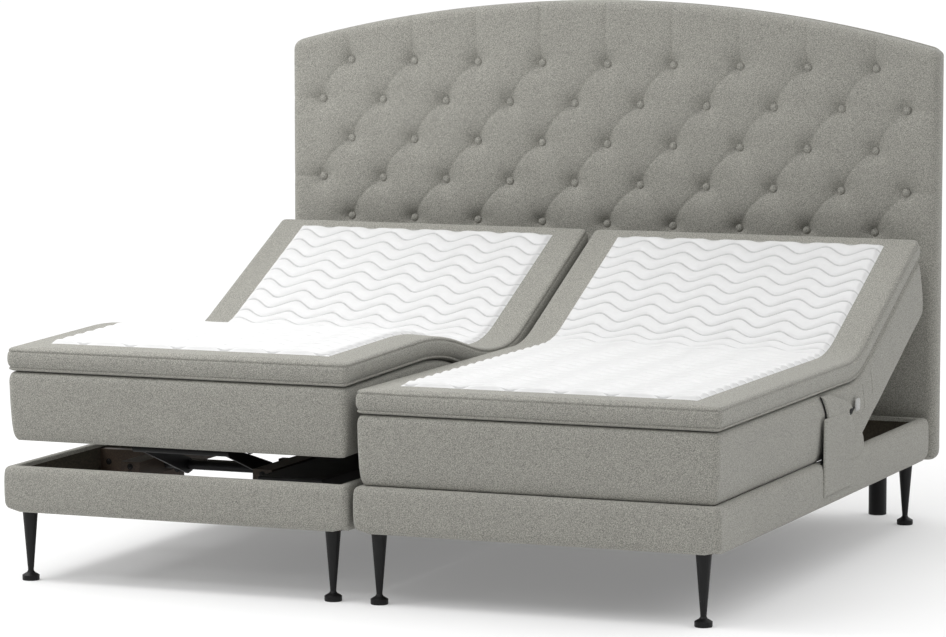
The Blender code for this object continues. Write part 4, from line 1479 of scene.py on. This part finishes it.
def make_world(strength):
    """A surround that looks pure white but lights the bed only as much as asked."""
    world = bpy.data.worlds.new("even_white")
    world.use_nodes = True
    tree = world.node_tree
    background = tree.nodes["Background"]
    background.inputs["Color"].default_value = (1.0, 1.0, 1.0, 1.0)
    seen = add_node(tree, "ShaderNodeLightPath").outputs["Is Camera Ray"]
    level = math_node(tree, "ADD", math_node(tree, "MULTIPLY", seen, 1.0 - strength), strength)
    link(tree, level, background.inputs["Strength"])
    bpy.context.scene.world = world


# ---- Operators ----


class BED_OT_stage(bpy.types.Operator):
    """Adds the floor, the lights and the camera"""

    bl_idname = "bed.stage"
    bl_label = "Stage"

    def execute(self, context):
        settings = context.scene.bed_stage
        make_camera(settings)
        make_floor()
        make_world(settings.sky)
        add_soft_sun("overhead", (0.3, 1.3, 6.0), 120.0, settings.overhead)
        add_panel_light(
            "headboard_light", (-2.2, -1.6, 3.0), (0.0, 0.93, 1.1), 1.4, settings.headboard_power,
        )
        add_soft_sun("key", (-4.5, -5.0, 5.0), 35.0, settings.key)
        context.scene.view_settings.view_transform = "Standard"
        return {"FINISHED"}


class BED_OT_finishes(bpy.types.Operator):
    """Makes the materials and paints the hard nodes of the frame"""

    bl_idname = "bed.finishes"
    bl_label = "Finishes"

    def execute(self, context):
        make_materials(context.scene.bed_fabric, context.scene.bed_topper)
        paint_nodes()
        return {"FINISHED"}


class BED_OT_box_frames(bpy.types.Operator):
    """Covers both box frames"""

    bl_idname = "bed.box_frames"
    bl_label = "Box frames"

    def execute(self, context):
        for side in OUTWARD:
            make_box_frame(side)
        return {"FINISHED"}


class BED_OT_blocks(bpy.types.Operator):
    """Makes the sprung blocks of both halves"""

    bl_idname = "bed.blocks"
    bl_label = "Sprung blocks"

    def execute(self, context):
        for side in OUTWARD:
            make_block(side)
        return {"FINISHED"}


class BED_OT_toppers(bpy.types.Operator):
    """Makes the quilted toppers of both halves"""

    bl_idname = "bed.toppers"
    bl_label = "Quilted toppers"

    def execute(self, context):
        tree = quilting_tree()
        for side in OUTWARD:
            make_topper(side, context.scene.bed_topper, tree)
        return {"FINISHED"}


class BED_OT_side_pockets(bpy.types.Operator):
    """Makes the flap, pocket and stitching on the outer side of both halves"""

    bl_idname = "bed.side_pockets"
    bl_label = "Side pockets"

    def execute(self, context):
        tree = stitch_tree()
        for side in OUTWARD:
            make_side_pocket(side)
            make_side_stitches(side, tree)
        return {"FINISHED"}


class BED_OT_bolts(bpy.types.Operator):
    """Adds the bolt heads of both carriers"""

    bl_idname = "bed.bolts"
    bl_label = "Bolts"

    def execute(self, context):
        tree = bolt_tree()
        for side in OUTWARD:
            make_bolts(side, tree)
        return {"FINISHED"}


class BED_OT_headboard(bpy.types.Operator):
    """Makes the tufted headboard with its buttons"""

    bl_idname = "bed.headboard"
    bl_label = "Tufted headboard"

    def execute(self, context):
        settings = context.scene.bed_headboard
        make_headboard_padding(settings)
        make_headboard_back(settings)
        make_buttons(settings)
        return {"FINISHED"}


OPERATORS = (
    BED_OT_finishes, BED_OT_stage, BED_OT_box_frames, BED_OT_blocks, BED_OT_toppers, BED_OT_side_pockets,
    BED_OT_bolts, BED_OT_headboard,
)


class BED_PT_panel(bpy.types.Panel):
    """Lists the pieces of the bed"""

    bl_idname = "BED_PT_panel"
    bl_label = "Adjustable bed"
    bl_space_type = "VIEW_3D"
    bl_region_type = "UI"
    bl_category = "Bed"

    def draw(self, context):
        for operator in OPERATORS:
            self.layout.operator(operator.bl_idname)


def register():
    for name, group in SETTINGS.items():
        bpy.utils.register_class(group)
        setattr(bpy.types.Scene, name, bpy.props.PointerProperty(type=group))
    for operator in OPERATORS:
        bpy.utils.register_class(operator)
    bpy.utils.register_class(BED_PT_panel)


def unregister():
    bpy.utils.unregister_class(BED_PT_panel)
    for operator in reversed(OPERATORS):
        bpy.utils.unregister_class(operator)
    for name, group in SETTINGS.items():
        delattr(bpy.types.Scene, name)
        bpy.utils.unregister_class(group)


def main():
    register()
    bpy.ops.bed.finishes()
    bpy.ops.bed.stage()
    bpy.ops.bed.box_frames()
    bpy.ops.bed.blocks()
    bpy.ops.bed.toppers()
    bpy.ops.bed.side_pockets()
    bpy.ops.bed.bolts()
    bpy.ops.bed.headboard()


if __name__ == "__main__":
    main()
